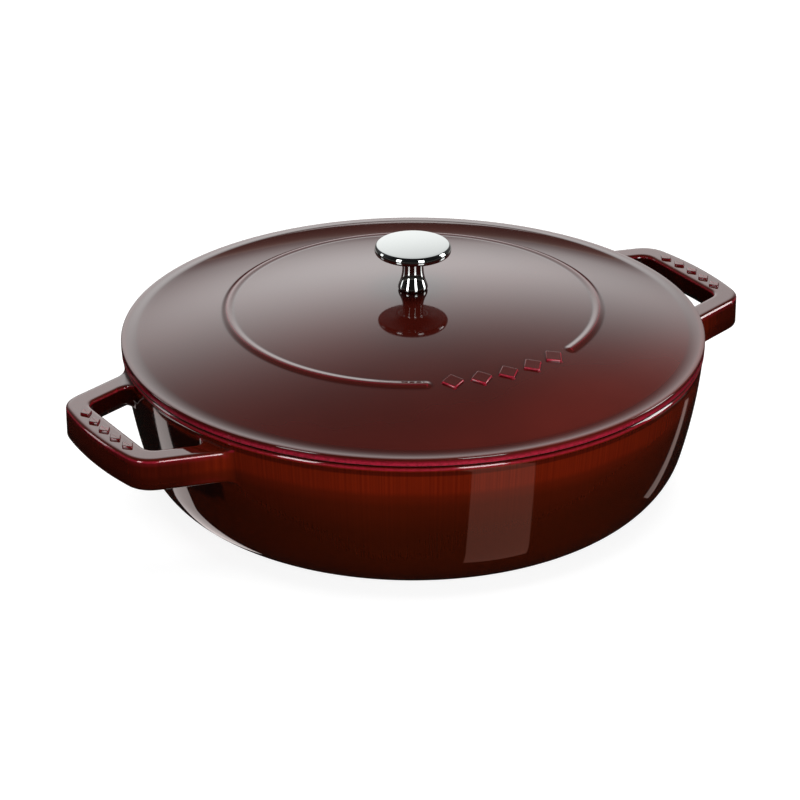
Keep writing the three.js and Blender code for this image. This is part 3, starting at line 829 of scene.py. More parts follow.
def lid_section(lid):
    """Half section of the lid: dome, band and edge on top, then the seat and the hollow underneath."""
    band = lid.seat + lid.edge_high
    level = lid.seat + lid.rise - lid.dome_arc
    # The hollow round touches the dome from outside and the band from above.
    reach = lid.dome_arc + lid.hollow_round
    rise = band + lid.hollow_round - level
    hollow_middle = sqrt(reach ** 2 - rise ** 2)
    slope = degrees(asin(hollow_middle / reach))
    dome_end = lid.dome_arc * sin(radians(slope))
    bead = [lid.ring_radius - row * MM for row in BEAD_ROWS[:0:-1]]
    bead += [lid.ring_radius + row * MM for row in BEAD_ROWS]
    before, after = bead[0] - BEAD_BEFORE, bead[-1] + BEAD_AFTER
    radii = steps(lid.knob_seat, before, 18)
    radii += steps(before, bead[0], 6)[1:] + bead[1:]
    radii += steps(bead[-1], after, 4)[1:]
    radii += steps(after, dome_end, 11)[1:]
    points = [(lid.bore, dome_height(lid, lid.knob_seat))]
    points += [(r, dome_height(lid, r)) for r in radii]
    points += arc((hollow_middle, band + lid.hollow_round), lid.hollow_round, -90 - slope, -90, 8)[1:]
    # The band's round starts where the hollow ends and runs on into the round of the edge.
    inward = lid.band_round - lid.edge_round
    edge_middle = lid.radius - lid.edge_round
    fall = asin((edge_middle - hollow_middle) / inward)
    edge_level = band - lid.band_round + inward * cos(fall)
    points += arc((hollow_middle, band - lid.band_round), lid.band_round, 90, 90 - degrees(fall), 6)[1:]
    points += arc((edge_middle, edge_level), lid.edge_round, 90 - degrees(fall), 0, 8)[1:]
    points += [(lid.radius, z) for z in steps(edge_level, lid.seat + LOWER_ROUND, 3)[1:-1]]
    points += arc((lid.radius - LOWER_ROUND, lid.seat + LOWER_ROUND), LOWER_ROUND, 0, -90, 6)
    points += [((lid.radius + lid.locator_outside) / 2, lid.seat)]
    points += arc((lid.locator_outside + SEAT_FILLET, lid.seat - SEAT_FILLET), SEAT_FILLET, 90, 180, 3)
    foot = lid.seat - lid.locator_deep + LOCATOR_ROUND
    points += arc((lid.locator_outside - LOCATOR_ROUND, foot), LOCATOR_ROUND, 0, -90, 4)
    points += arc((lid.locator_inside + LOCATOR_ROUND, foot), LOCATOR_ROUND, -90, -180, 4)
    hollow_end = lid.locator_inside - LOCATOR_FILLET
    root = dome_height(lid, hollow_end, lid.thick)
    fillet = ((lid.locator_inside, root - FILLET_LOW), (lid.locator_inside, root - FILLET_PULL),
              (hollow_end, root))
    points += bezier(fillet, 4)
    radii = steps(hollow_end, lid.pad_radius + MM, 30)[1:]
    points += [(r, dome_height(lid, r, lid.thick)) for r in radii]
    pad = lid.seat + lid.rise - lid.thick - lid.pad_deep
    points += [(lid.pad_radius, pad + CHAMFER), (lid.pad_radius - CHAMFER, pad), (lid.bore, pad)]
    points += [(lid.bore, dome_height(lid, lid.knob_seat))]
    return points


def raise_bead(piece, lid):
    """Cuts fine columns at the two ends of the raised ring and lifts the dome along it."""
    middle = lid.turn - pi / 2
    reach = BEAD_ROWS[-1] * MM
    pick(piece)
    bpy.ops.object.mode_set(mode="EDIT")
    for inward in (1, -1):
        for offset in steps(*END_CUTS):
            turn = middle - inward * lid.ring_gap / 2 + inward * offset / lid.ring_radius

            def beside_cut(face):
                """True for the ring's faces next to the turn."""
                spot = face.calc_center_median()
                on_ring = abs(spot.to_2d().length - lid.ring_radius) < reach and face.normal.z > TOP_FACE
                return on_ring and abs(aside_of(spot, turn)) < CUT_HALF

            select_faces(piece, beside_cut)
            bpy.ops.mesh.bisect(plane_co=(0, 0, 0), plane_no=(-sin(turn), cos(turn), 0))
    bpy.ops.mesh.select_mode(type="VERT")
    mesh = bmesh.from_edit_mesh(piece.data)
    for vertex in mesh.verts:
        off = vertex.co.to_2d().length - lid.ring_radius
        if abs(off) < lid.bead_half and vertex.co.z > dome_height(lid, lid.ring_radius + off, lid.thick / 2):
            past = max(lid.ring_gap / 2 - abs(aside_of(vertex.co, middle)), 0) * lid.ring_radius
            spot = min(sqrt(off ** 2 + past ** 2) / lid.bead_half, 1)
            vertex.co.z += lid.bead_high * (1 + cos(pi * spot)) / 2
    bmesh.update_edit_mesh(piece.data)
    bpy.ops.object.mode_set(mode="OBJECT")


def basting_nub(lid):
    """A rounded cone that hangs under the dome."""
    buried = lid.thick / 2
    tall = lid.nub_high + buried
    clear_selection()
    bpy.ops.mesh.primitive_cone_add(vertices=20, radius1=NUB_TIP, radius2=lid.nub_round * NUB_FLARE,
                                    depth=tall, location=(0, 0, 0))
    nub = named("nub")
    bpy.ops.object.mode_set(mode="EDIT")
    select_faces(nub, lambda face: face.normal.z < END_FACE)
    bpy.ops.mesh.bevel(offset=NUB_SOFT, segments=4, affect="EDGES")
    bpy.ops.mesh.select_mode(type="VERT")
    bpy.ops.mesh.select_all(action="SELECT")
    bpy.ops.transform.translate(value=(0, 0, buried - tall / 2))
    close_mesh()
    bpy.ops.object.mode_set(mode="OBJECT")
    return nub


class PAN_OT_lid(bpy.types.Operator):
    """Model the lid casting with its raised ring, lozenges and basting nubs"""

    bl_idname = "pan.lid"
    bl_label = "Lid Casting"

    def execute(self, context):
        lid = context.scene.pan_lid
        piece = spin_section("lid_casting", lid_section(lid), LID_TURNS)
        raise_bead(piece, lid)
        check_closed(piece)
        mark = lozenge(lid.mark_along, lid.mark_across, lid.mark_high, lid.thick / 2)
        tilt = asin(lid.mark_radius / lid.dome_arc)
        height = dome_height(lid, lid.mark_radius)
        extras = row_of_marks(mark, lid.mark_radius, lid.mark_step, height, tilt, lid.turn - pi / 2)
        nub = basting_nub(lid)
        for radius, count in NUB_RINGS:
            level = dome_height(lid, radius, lid.thick)
            for i in range(count):
                place = Matrix.Rotation(tau * i / count, 4, "Z") @ Matrix.Translation((radius, 0, level))
                extras.append(copy_of(nub, place))
        for original in (mark, nub):
            bpy.data.objects.remove(original, do_unlink=True)
        join(*extras)
        cut_or_join(piece, extras[0], "UNION")

        def thin_on_lower_edge(places, normals, thin, pooled_and_shade):
            """Thin glaze on the lower edge and on outer flanks, thick glaze in the band's hollow."""
            radius = np.hypot(places[:, 0], places[:, 1])
            inset = lid.radius - radius
            outward = np.sum(places[:, :2] * normals[:, :2], axis=1) / np.maximum(radius, MM)
            thin = thin * (OFF_FLANK + ON_FLANK * eased(outward, *OUTWARD))
            bare = 1 - eased(places[:, 2] - lid.seat, *EDGE_COVERED)
            in_hollow = eased(inset, *BAND_HOLLOW_START) * (1 - eased(inset, *BAND_HOLLOW_END))
            in_hollow *= normals[:, 2] > TOP_FACE
            thin = np.where(inset < BAND_HOLLOW_START[0], bare, thin)
            return thin, np.maximum(pooled_and_shade, BAND_THICK * in_hollow)

        note_glaze(piece, thin_on_lower_edge)
        finishes = context.scene.pan_finishes

        def underneath(middle, normal):
            """True on the black faces of the lid."""
            radius = middle.to_2d().length
            if radius > lid.locator_inside - LOCATOR_FILLET:
                return middle.z < lid.seat + LOWER_ROUND / 2 or normal.z < UNDER_FACE
            return middle.z < dome_height(lid, radius, lid.thick / 2)

        dress(piece, "lid", "lid",
              (lid_glaze_and_light_material(finishes), black_enamel_material(finishes)), underneath)
        return {"FINISHED"}


# Cone at the end of the knob's hole.
DRILL_TIP = 2 * MM


class PAN_OT_knob(bpy.types.Operator):
    """Model the turned knob"""

    bl_idname = "pan.knob"
    bl_label = "Turned Knob"

    def execute(self, context):
        knob, lid = context.scene.pan_knob, context.scene.pan_lid
        foot, top = KNOB_LOW.z, KNOB_HIGH.z
        rim = top - knob.cap_crown
        cap_low = rim - knob.cap_edge
        bell = ((knob.bell_radius, foot + knob.bell_high), (knob.bell_radius, foot + knob.bell_pull),
                (knob.stem_radius, foot + knob.stem_pull), (knob.stem_radius, foot + knob.stem_low))
        flare = ((knob.stem_radius, foot + knob.stem_high), (knob.stem_radius, cap_low),
                 (knob.cap_radius - knob.cap_round, cap_low))
        turn = knob.shoulder_turn
        inward = knob.shoulder - knob.cap_crisp
        lean = (knob.cap_radius - knob.shoulder, rim - knob.cap_crisp - inward * sin(turn))
        crisp = (lean[0] + inward * cos(turn), rim - knob.cap_crisp)
        heel = ((knob.foot_radius, foot), (knob.bell_radius, foot + knob.bell_high / 2), bell[0])
        lower = (knob.cap_radius - knob.cap_round, cap_low + knob.cap_round)
        points = [(0, foot + knob.hole_deep + DRILL_TIP), (lid.bore, foot + knob.hole_deep)]
        points += [(lid.bore, foot + CHAMFER), (lid.bore + CHAMFER, foot)]
        points += bezier(heel, 8) + bezier(bell, 22)[1:] + bezier(flare, 20)
        points += arc(lower, knob.cap_round, -90, 0, 8)[1:]
        points += arc(lean, knob.shoulder, 0, degrees(turn), 8)
        points += arc(crisp, knob.cap_crisp, degrees(turn), 90, 5)[1:]
        crown_arc = (crisp[0] ** 2 + knob.cap_crown ** 2) / (2 * knob.cap_crown)
        points += [(r, top - crown_arc + sqrt(crown_arc ** 2 - r ** 2)) for r in steps(crisp[0], 0, 8)[1:]]
        piece = spin_section("turned_knob", points, KNOB_TURNS)
        check_closed(piece)
        dress(piece, "lid", "knob", (nickel_material(context.scene.pan_finishes),))
        return {"FINISHED"}


# The screw: chamfers of its head and its end, its plain shank, and the depth and flanks of its thread.
HEAD_CHAMFER, END_CHAMFER = 0.2 * MM, 0.8 * MM
SHANK = 4 * MM
THREAD_DEEP = 0.55 * MM
THREAD_FLANKS = (0.45, 0.55, 0.95, 1)
# Rounds of the two washers' edges.
WASHER_EDGE, SPRING_EDGE = 0.3 * MM, 0.2 * MM


class PAN_OT_fasteners(bpy.types.Operator):
    """Model the slotted screw, the spring washer and the plain washer under the lid"""

    bl_idname = "pan.fasteners"
    bl_label = "Screw and Washers"

    def execute(self, context):
        sizes, lid = context.scene.pan_fasteners, context.scene.pan_lid
        steel = steel_material(context.scene.pan_finishes)
        self.screw(sizes, steel)
        self.plain_washer(lid, steel)
        self.spring_washer(sizes, lid, steel)
        return {"FINISHED"}

    def screw(self, sizes, steel):
        """Slotted screw with its thread."""
        low, tip = SCREW_LOW.z, SCREW_HIGH.z
        head_radius = SCREW_HIGH.x
        head_top = low + sizes.head_high
        outside, pitch = sizes.thread_radius, sizes.thread_pitch
        root = outside - THREAD_DEEP
        points = [(0, low), (head_radius / 2, low)]
        points += arc((head_radius - sizes.head_round, low + sizes.head_round), sizes.head_round, -90, 0, 8)
        points += [(head_radius, head_top - HEAD_CHAMFER), (head_radius - HEAD_CHAMFER, head_top)]
        level = head_top + SHANK
        points += [(outside, head_top), (outside, level)]
        while level + pitch < tip - END_CHAMFER:
            points += [(radius, level + part * pitch)
                       for radius, part in zip((root, root, outside, outside), THREAD_FLANKS)]
            level += pitch
        points += [(outside - END_CHAMFER, tip), (0, tip)]
        piece = spin_section("slotted_screw", points, FASTENER_TURNS)
        check_closed(piece)
        clear_selection()
        bpy.ops.mesh.primitive_cube_add(size=1, location=(0, 0, 0))
        slot = named("slot")
        blade = Matrix.Diagonal((sizes.slot_wide, 4 * head_radius, 2 * sizes.slot_deep, 1))
        slot.data.transform(Matrix.Translation((0, 0, low)) @ blade)
        cut_or_join(piece, slot, "DIFFERENCE")
        dress(piece, "lid", "knob_screw", (steel,))

    def plain_washer(self, lid, steel):
        """Stamped washer, rounded on one side."""
        low, high, outside = WASHER_LOW.z, WASHER_HIGH.z, WASHER_HIGH.x
        edge = WASHER_EDGE
        points = [(lid.bore, low + edge / 2), (lid.bore + edge / 2, low)]
        points += arc((outside - edge, low + edge), edge, -90, 0, 4)
        points += [(outside, high - edge / 4), (outside - edge / 4, high)]
        points += [(lid.bore + edge / 4, high), (lid.bore, high - edge / 4), (lid.bore, low + edge / 2)]
        piece = spin_section("plain_washer", points, FASTENER_TURNS)
        check_closed(piece)
        dress(piece, "lid", "flat_washer", (steel,))

    def spring_washer(self, sizes, lid, steel):
        """Split ring of square wire."""
        low, high = SPRING_LOW.z, SPRING_HIGH.z
        edge = SPRING_EDGE
        outside = sizes.spring_radius
        section = []
        for x, z, turn in ((lid.bore + edge, low + edge, 180), (outside - edge, low + edge, 270),
                           (outside - edge, high - edge, 0), (lid.bore + edge, high - edge, 90)):
            section += arc((x, z), edge, turn, turn + 90, 3)
        piece = draw_section("spring_washer", section + section[:1])
        bpy.ops.mesh.select_all(action="SELECT")
        bpy.ops.mesh.remove_doubles(threshold=WELD)
        bpy.ops.mesh.edge_face_add()
        middle = (lid.bore + outside) / 2
        split = 2 * asin(sizes.spring_split / 2 / middle)
        bpy.ops.mesh.select_all(action="SELECT")
        bpy.ops.mesh.spin(steps=FASTENER_TURNS, angle=tau - split, center=(0, 0, 0), axis=(0, 0, 1))
        close_mesh()
        bpy.ops.object.mode_set(mode="OBJECT")
        piece.data.transform(Matrix.Rotation(-pi / 2 + split / 2, 4, "Z"))
        check_closed(piece)
        dress(piece, "lid", "lock_washer", (steel,))


class Recipe:
    """A node tree that is filled node by node"""

    def __init__(self, owner):
        """Starts with the empty tree of a material or a world."""
        owner.use_nodes = True
        self.tree = owner.node_tree
        self.tree.nodes.clear()

    def add(self, kind, inputs=None, output=0, **settings):
        """Adds a node, sets or links its inputs and gives back one of its outputs."""
        node = self.tree.nodes.new("ShaderNode" + kind)
        for name, value in settings.items():
            setattr(node, name, value)
        for name, value in (inputs or {}).items():
            socket = node.inputs[name]
            if isinstance(value, bpy.types.NodeSocket):
                self.tree.links.new(value, socket)
            else:
                socket.default_value = value
        return node.outputs[output] if node.outputs else None

    def math(self, operation, first, second=0.0, third=0.0):
        """A calculation with up to three numbers."""
        return self.add("Math", {0: first, 1: second, 2: third}, operation=operation)

    def mix(self, factor, first, second):
        """A mixed colour."""
        return self.add("Mix", {0: factor, 6: first, 7: second}, output=2, data_type="RGBA")

    def span(self, value, low, high, start=0.0, end=1.0, way="LINEAR"):
        """A value between two limits, carried over to two others."""
        limits = {"From Min": low, "From Max": high, "To Min": start, "To Max": end}
        return self.add("MapRange", {"Value": value, **limits}, interpolation_type=way)

    def ease(self, value, low, high, start=0.0, end=1.0):
        """The same, eased at both limits."""
        return self.span(value, low, high, start, end, "SMOOTHSTEP")

    def bell(self, value):
        """One at zero and less on both sides."""
        return self.math("EXPONENT", self.math("MULTIPLY", self.math("MULTIPLY", value, value), -1.0))

    def dot(self, first, second):
        """How far one direction goes along another."""
        return self.add("VectorMath", {0: first, 1: second}, output="Value", operation="DOT_PRODUCT")

    def scale(self, tint, factor):
        """A colour made paler or darker."""
        return self.add("VectorMath", {0: tint, "Scale": factor}, operation="SCALE")

    def noise(self, place, scale, detail=2.0):
        """Soft noise in space."""
        return self.add("TexNoise", {"Vector": place, "Scale": scale, "Detail": detail})

    def streaks(self, run, scale, detail=2.0):
        """Soft noise along a line."""
        return self.add("TexNoise", {"W": run, "Scale": scale, "Detail": detail}, noise_dimensions="1D")

    def skin(self, height, strength, distance):
        """The normal of a slightly uneven surface."""
        return self.add("Bump", {"Strength": strength, "Distance": distance, "Height": height})

    def finish(self, body, rough, skin, **more):
        """Ends a material with its shader."""
        shader = {"Base Color": body, "Roughness": rough, "Normal": skin, **more}
        self.add("OutputMaterial", {"Surface": self.add("BsdfPrincipled", shader)})


def material(name):
    """A new material and its recipe."""
    made = bpy.data.materials.new(name)
    return made, Recipe(made)


# How far gathered glaze and painted shade cover the colour under it.
POOLED_COVER = 0.92


def glaze(recipe, place, body, finishes, groove_shade=0.0):
    """Finishes a glaze: crimson on thin edges, dark in hollows and where shade is painted, a glassy skin with
    a slight orange peel.
    """
    thin = recipe.add("Attribute", output="Fac", attribute_name="glaze_thin")
    pooled_and_shade = recipe.add("Attribute", output="Fac", attribute_name="glaze_pooled_and_shade")
    pooled_and_shade = recipe.math("MAXIMUM", recipe.math("MULTIPLY", pooled_and_shade, POOLED_COVER), groove_shade)
    body = recipe.mix(pooled_and_shade, body, tuple(finishes.pooled_glaze_and_shade))
    fleck = recipe.noise(place, 620)
    run = recipe.math("MULTIPLY", thin, recipe.span(fleck, 0.3, 0.6, 0.55, 1.0))
    body = recipe.mix(run, body, tuple(finishes.edge_glaze))
    peel = recipe.math("MULTIPLY", recipe.noise(place, 210, 1), 0.1)
    bare = recipe.span(thin, 0.6, 0.95)
    grit = recipe.math("MULTIPLY", bare, recipe.noise(place, 900, 1))
    skin = recipe.skin(recipe.math("MULTIPLY_ADD", grit, 2.0, peel), 0.35, 0.06 * MM)
    rough = recipe.span(recipe.noise(place, 90, 3), 0.3, 0.7, 0.035, 0.075)
    recipe.finish(body, recipe.math("MULTIPLY_ADD", bare, 0.2, rough), skin, IOR=1.62)


# Painted light: the side of the lid that is painted paler, as if lit more, how far out that starts and ends,
# and how much paler it gets.
PAINTED_LIGHT_SIDE = (0.274, -0.962, 0)
PAINTED_LIGHT_FROM, PAINTED_LIGHT_TO = 80 * MM, 135 * MM
PAINTED_LIGHT_GAIN = 1.75


def lid_glaze_and_light_material(finishes):
    """Deep brown red glaze on the dome, painted paler on one side as if lit more."""
    made, recipe = material("lid_glaze")
    place = recipe.add("TexCoord", output="Object")
    cloud = recipe.span(recipe.noise(place, 14, 4), 0.3, 0.7, 0.85, 1.15)
    # Painted light: the glaze is painted paler towards one side, as if lit more there; the cloud is the
    # glaze's own uneven tone.
    painted_light = recipe.ease(recipe.dot(place, PAINTED_LIGHT_SIDE), PAINTED_LIGHT_FROM, PAINTED_LIGHT_TO, 1.0, PAINTED_LIGHT_GAIN)
    cloud_and_painted_light = recipe.math("MULTIPLY", cloud, painted_light)
    glaze(recipe, place, recipe.scale(tuple(finishes.lid_glaze[:3]), cloud_and_painted_light), finishes)
    return made


# The wall's glaze turns paler upwards in three steps, partly its own band and partly painted light, lit above
# and shaded below: from, to, share.
BAND_AND_LIGHT_STEPS = ((36 * MM, 58 * MM, 0.22), (54 * MM, 61 * MM, 0.26), (60 * MM, 63.9 * MM, 0.52))
# How far the band's edge wanders up and down, and the waves and streaks in a radian round the wall.
SWAY = 0.6 * MM
WAVES, STREAKS = 3, 120
# Painted shade: a dark line painted in the groove under the lip: from, full, full, to, and its share of the
# pooled colour.
GROOVE_SHADE = (71.7 * MM, 72.6 * MM, 74.3 * MM, 75 * MM)
GROOVE_SHADE_SHARE = 0.55


def wall_glaze_and_shade_material(finishes):
    """Brown red glaze on the pot, paler and finely streaked in the band under the rim, partly as painted
    light, with painted shade low on the wall, in the groove under the lip and in the finger gaps.
    """
    made, recipe = material("wall_glaze_and_shade")
    place = recipe.add("TexCoord", output="Object")
    parts = recipe.add("SeparateXYZ", {0: place}).node.outputs
    turn = recipe.math("ARCTAN2", parts["Y"], parts["X"])
    sway = recipe.streaks(recipe.math("MULTIPLY", turn, WAVES), 1)
    level = recipe.math("ADD", parts["Z"], recipe.span(sway, 0.3, 0.7, -SWAY, SWAY))
    # Painted light and shade in part: these steps paint the upper wall lighter and the lower wall darker.
    band = 0.0
    for low, high, part in BAND_AND_LIGHT_STEPS:
        band = recipe.math("ADD", recipe.ease(level, low, high, 0.0, part), band)
    body = recipe.mix(band, tuple(finishes.wall_glaze_and_shade), tuple(finishes.band_glaze_and_light))
    streak = recipe.streaks(recipe.math("MULTIPLY", turn, STREAKS), 1, 1)
    comb = recipe.span(band, 0.45, 1, 0.05, 0.16)
    comb = recipe.span(streak, 0.3, 0.7, recipe.math("SUBTRACT", 1.0, comb), recipe.math("ADD", 1.0, comb))
    cloud = recipe.span(recipe.noise(place, 16, 4), 0.3, 0.7, 0.9, 1.1)
    body = recipe.scale(body, recipe.math("MULTIPLY", cloud, comb))
    # Painted shade: the groove under the lip is painted dark as if shaded.
    into = recipe.ease(parts["Z"], GROOVE_SHADE[0], GROOVE_SHADE[1], 0.0, GROOVE_SHADE_SHARE)
    over = recipe.ease(parts["Z"], GROOVE_SHADE[2], GROOVE_SHADE[3], 1.0, 0.0)
    glaze(recipe, place, body, finishes, recipe.math("MULTIPLY", into, over))
    return made


def black_enamel_material(finishes):
    """Satin black enamel with a fine pebbled skin."""
    made = bpy.data.materials.get("black_enamel")
    if made:
        return made
    made, recipe = material("black_enamel")
    place = recipe.add("TexCoord", output="Object")
    fleck = recipe.span(recipe.noise(place, 380, 3), 0.35, 0.7)
    pale = tuple(2.2 * c for c in finishes.black_enamel[:3]) + (1,)
    body = recipe.mix(fleck, tuple(finishes.black_enamel), pale)
    rough = recipe.span(recipe.noise(place, 60, 3), 0.3, 0.7, 0.36, 0.5)
    skin = recipe.skin(recipe.noise(place, 700), 0.5, 0.08 * MM)
    recipe.finish(body, rough, skin, IOR=1.5)
    return made


def turned_metal(name, tint, rough_low, rough_high, ring_scale, strength):
    """A metal with fine marks in rings about the axis."""
    made, recipe = material(name)
    place = recipe.add("TexCoord", output="Object")
    parts = recipe.add("SeparateXYZ", {0: place}).node.outputs
    squares = [recipe.math("POWER", parts[axis], 2.0) for axis in "XY"]
    across = recipe.math("POWER", recipe.math("ADD", *squares), 0.5)
    rings = recipe.streaks(recipe.math("ADD", across, parts["Z"]), ring_scale)
    rough = recipe.span(recipe.noise(place, 160, 3), 0.3, 0.7, rough_low, rough_high)
    body = recipe.scale(tuple(tint[:3]), recipe.span(rings, 0.3, 0.7, 0.94, 1.0))
    recipe.finish(body, rough, recipe.skin(rings, strength, 0.01 * MM), Metallic=1)
    return made


def nickel_material(finishes):
    """Polished nickel plate."""
    return turned_metal("polished_nickel", finishes.nickel, 0.02, 0.06, 4000, 0.03)


def steel_material(finishes):
    """Bright turned steel."""
    return turned_metal("bright_steel", finishes.steel, 0.22, 0.36, 6000, 0.25)


# Soft lamps: name, azimuth from the camera and elevation in degrees, distance, width, height, brightness.
LAMPS = (
    ("front_lamp", 14, 12, 0.65, 0.35, 0.35, 2.85),
    ("back_lamp", 176, 34, 1.2, 0.7, 0.4, 7.6),
    ("overhead_lamp", 20, 80, 1.6, 1.1, 0.9, 4.4),
)
CARD_DISTANCE = 1.6
# Bright upright cards that only mirrors see: name, azimuth, elevation, width, height, brightness.
CARDS = (
    ("left_card", -42, 13, 0.38, 1.1, 9.0),
    ("right_card", 25, 13, 0.44, 1.1, 9.0),
    ("far_right_card", 101, 13, 0.44, 1.1, 9.0),
    ("far_left_card", -104, 8, 0.3, 0.8, 3.0),
)
# Pale strips on the dark card: corners in millimetres to the right of the pan and away from the camera,
# and colours.
STRIPS = (
    ("front_strip", ((28, -137), (63.6, -125), (142, -202), (71, -240)), (0.60, 0.25, 0.19)),
    ("left_strip", ((-75, -97), (-100, -68), (-225, 8), (-220, -26)), (1.3, 1.15, 1.12)),
    ("right_strip", ((137, -56), (134, -50), (202, 54), (208, 42)), (0.50, 0.38, 0.35)),
    ("back_strip", ((-600, 330), (600, 330), (600, 585), (-600, 585)), (0.52, 0.51, 0.50)),
)
FLOOR_RADIUS = 8.0
FLOOR_TURNS = 96
FLOOR_GREY, FLOOR_SHOWN = 0.36, 0.88
# Heights of the dark card and the strips over the floor.
CARD_LEVEL, STRIP_LEVEL = 0.2 * MM, 0.4 * MM
CARD_TINT = (1, 0.9, 0.82)
# The glow behind the pan, in degrees: azimuth and elevation of its middle, how far it fades upwards,
# downwards and to the sides, and the elevations between which it comes up. Its ridge slopes.
GLOW_AZIMUTH, GLOW_ELEVATION = -4.2, 18.7
GLOW_UP, GLOW_DOWN, GLOW_ASIDE = 18.4, 14, 24.5
GLOW_HORIZON = (-4, 5)
GLOW_SLOPE = 0.195
# Faint even glow in front of the pan and behind it.
FAINT_FRONT, FAINT_BACK = 0.02, 0.085
WHITE = (1, 1, 1, 1)


def view_turn(settings):
    """Turns the camera's own frame, with Y away from the camera, into the pan's."""
    return Matrix.Rotation(settings.azimuth, 3, "Z")


def towards_pan(settings, turn, rise, distance):
    """Places something at an azimuth and an elevation, in degrees, and turns it to the pan."""
    turn, rise = radians(turn), radians(rise)
    way = view_turn(settings) @ Vector((sin(turn) * cos(rise), -cos(turn) * cos(rise), sin(rise)))
    return Matrix.Translation(distance * way) @ way.to_track_quat("Z", "Y").to_matrix().to_4x4()


def disc(name, height):
    """A wide disc at a height."""
    clear_selection()
    bpy.ops.mesh.primitive_circle_add(vertices=FLOOR_TURNS, radius=FLOOR_RADIUS, fill_type="NGON",
                                      location=(0, 0, height))
    return named(name)


def flat_card(name):
    """A square of one metre on the ground."""
    clear_selection()
    bpy.ops.mesh.primitive_plane_add(size=1, location=(0, 0, 0))
    return named(name)


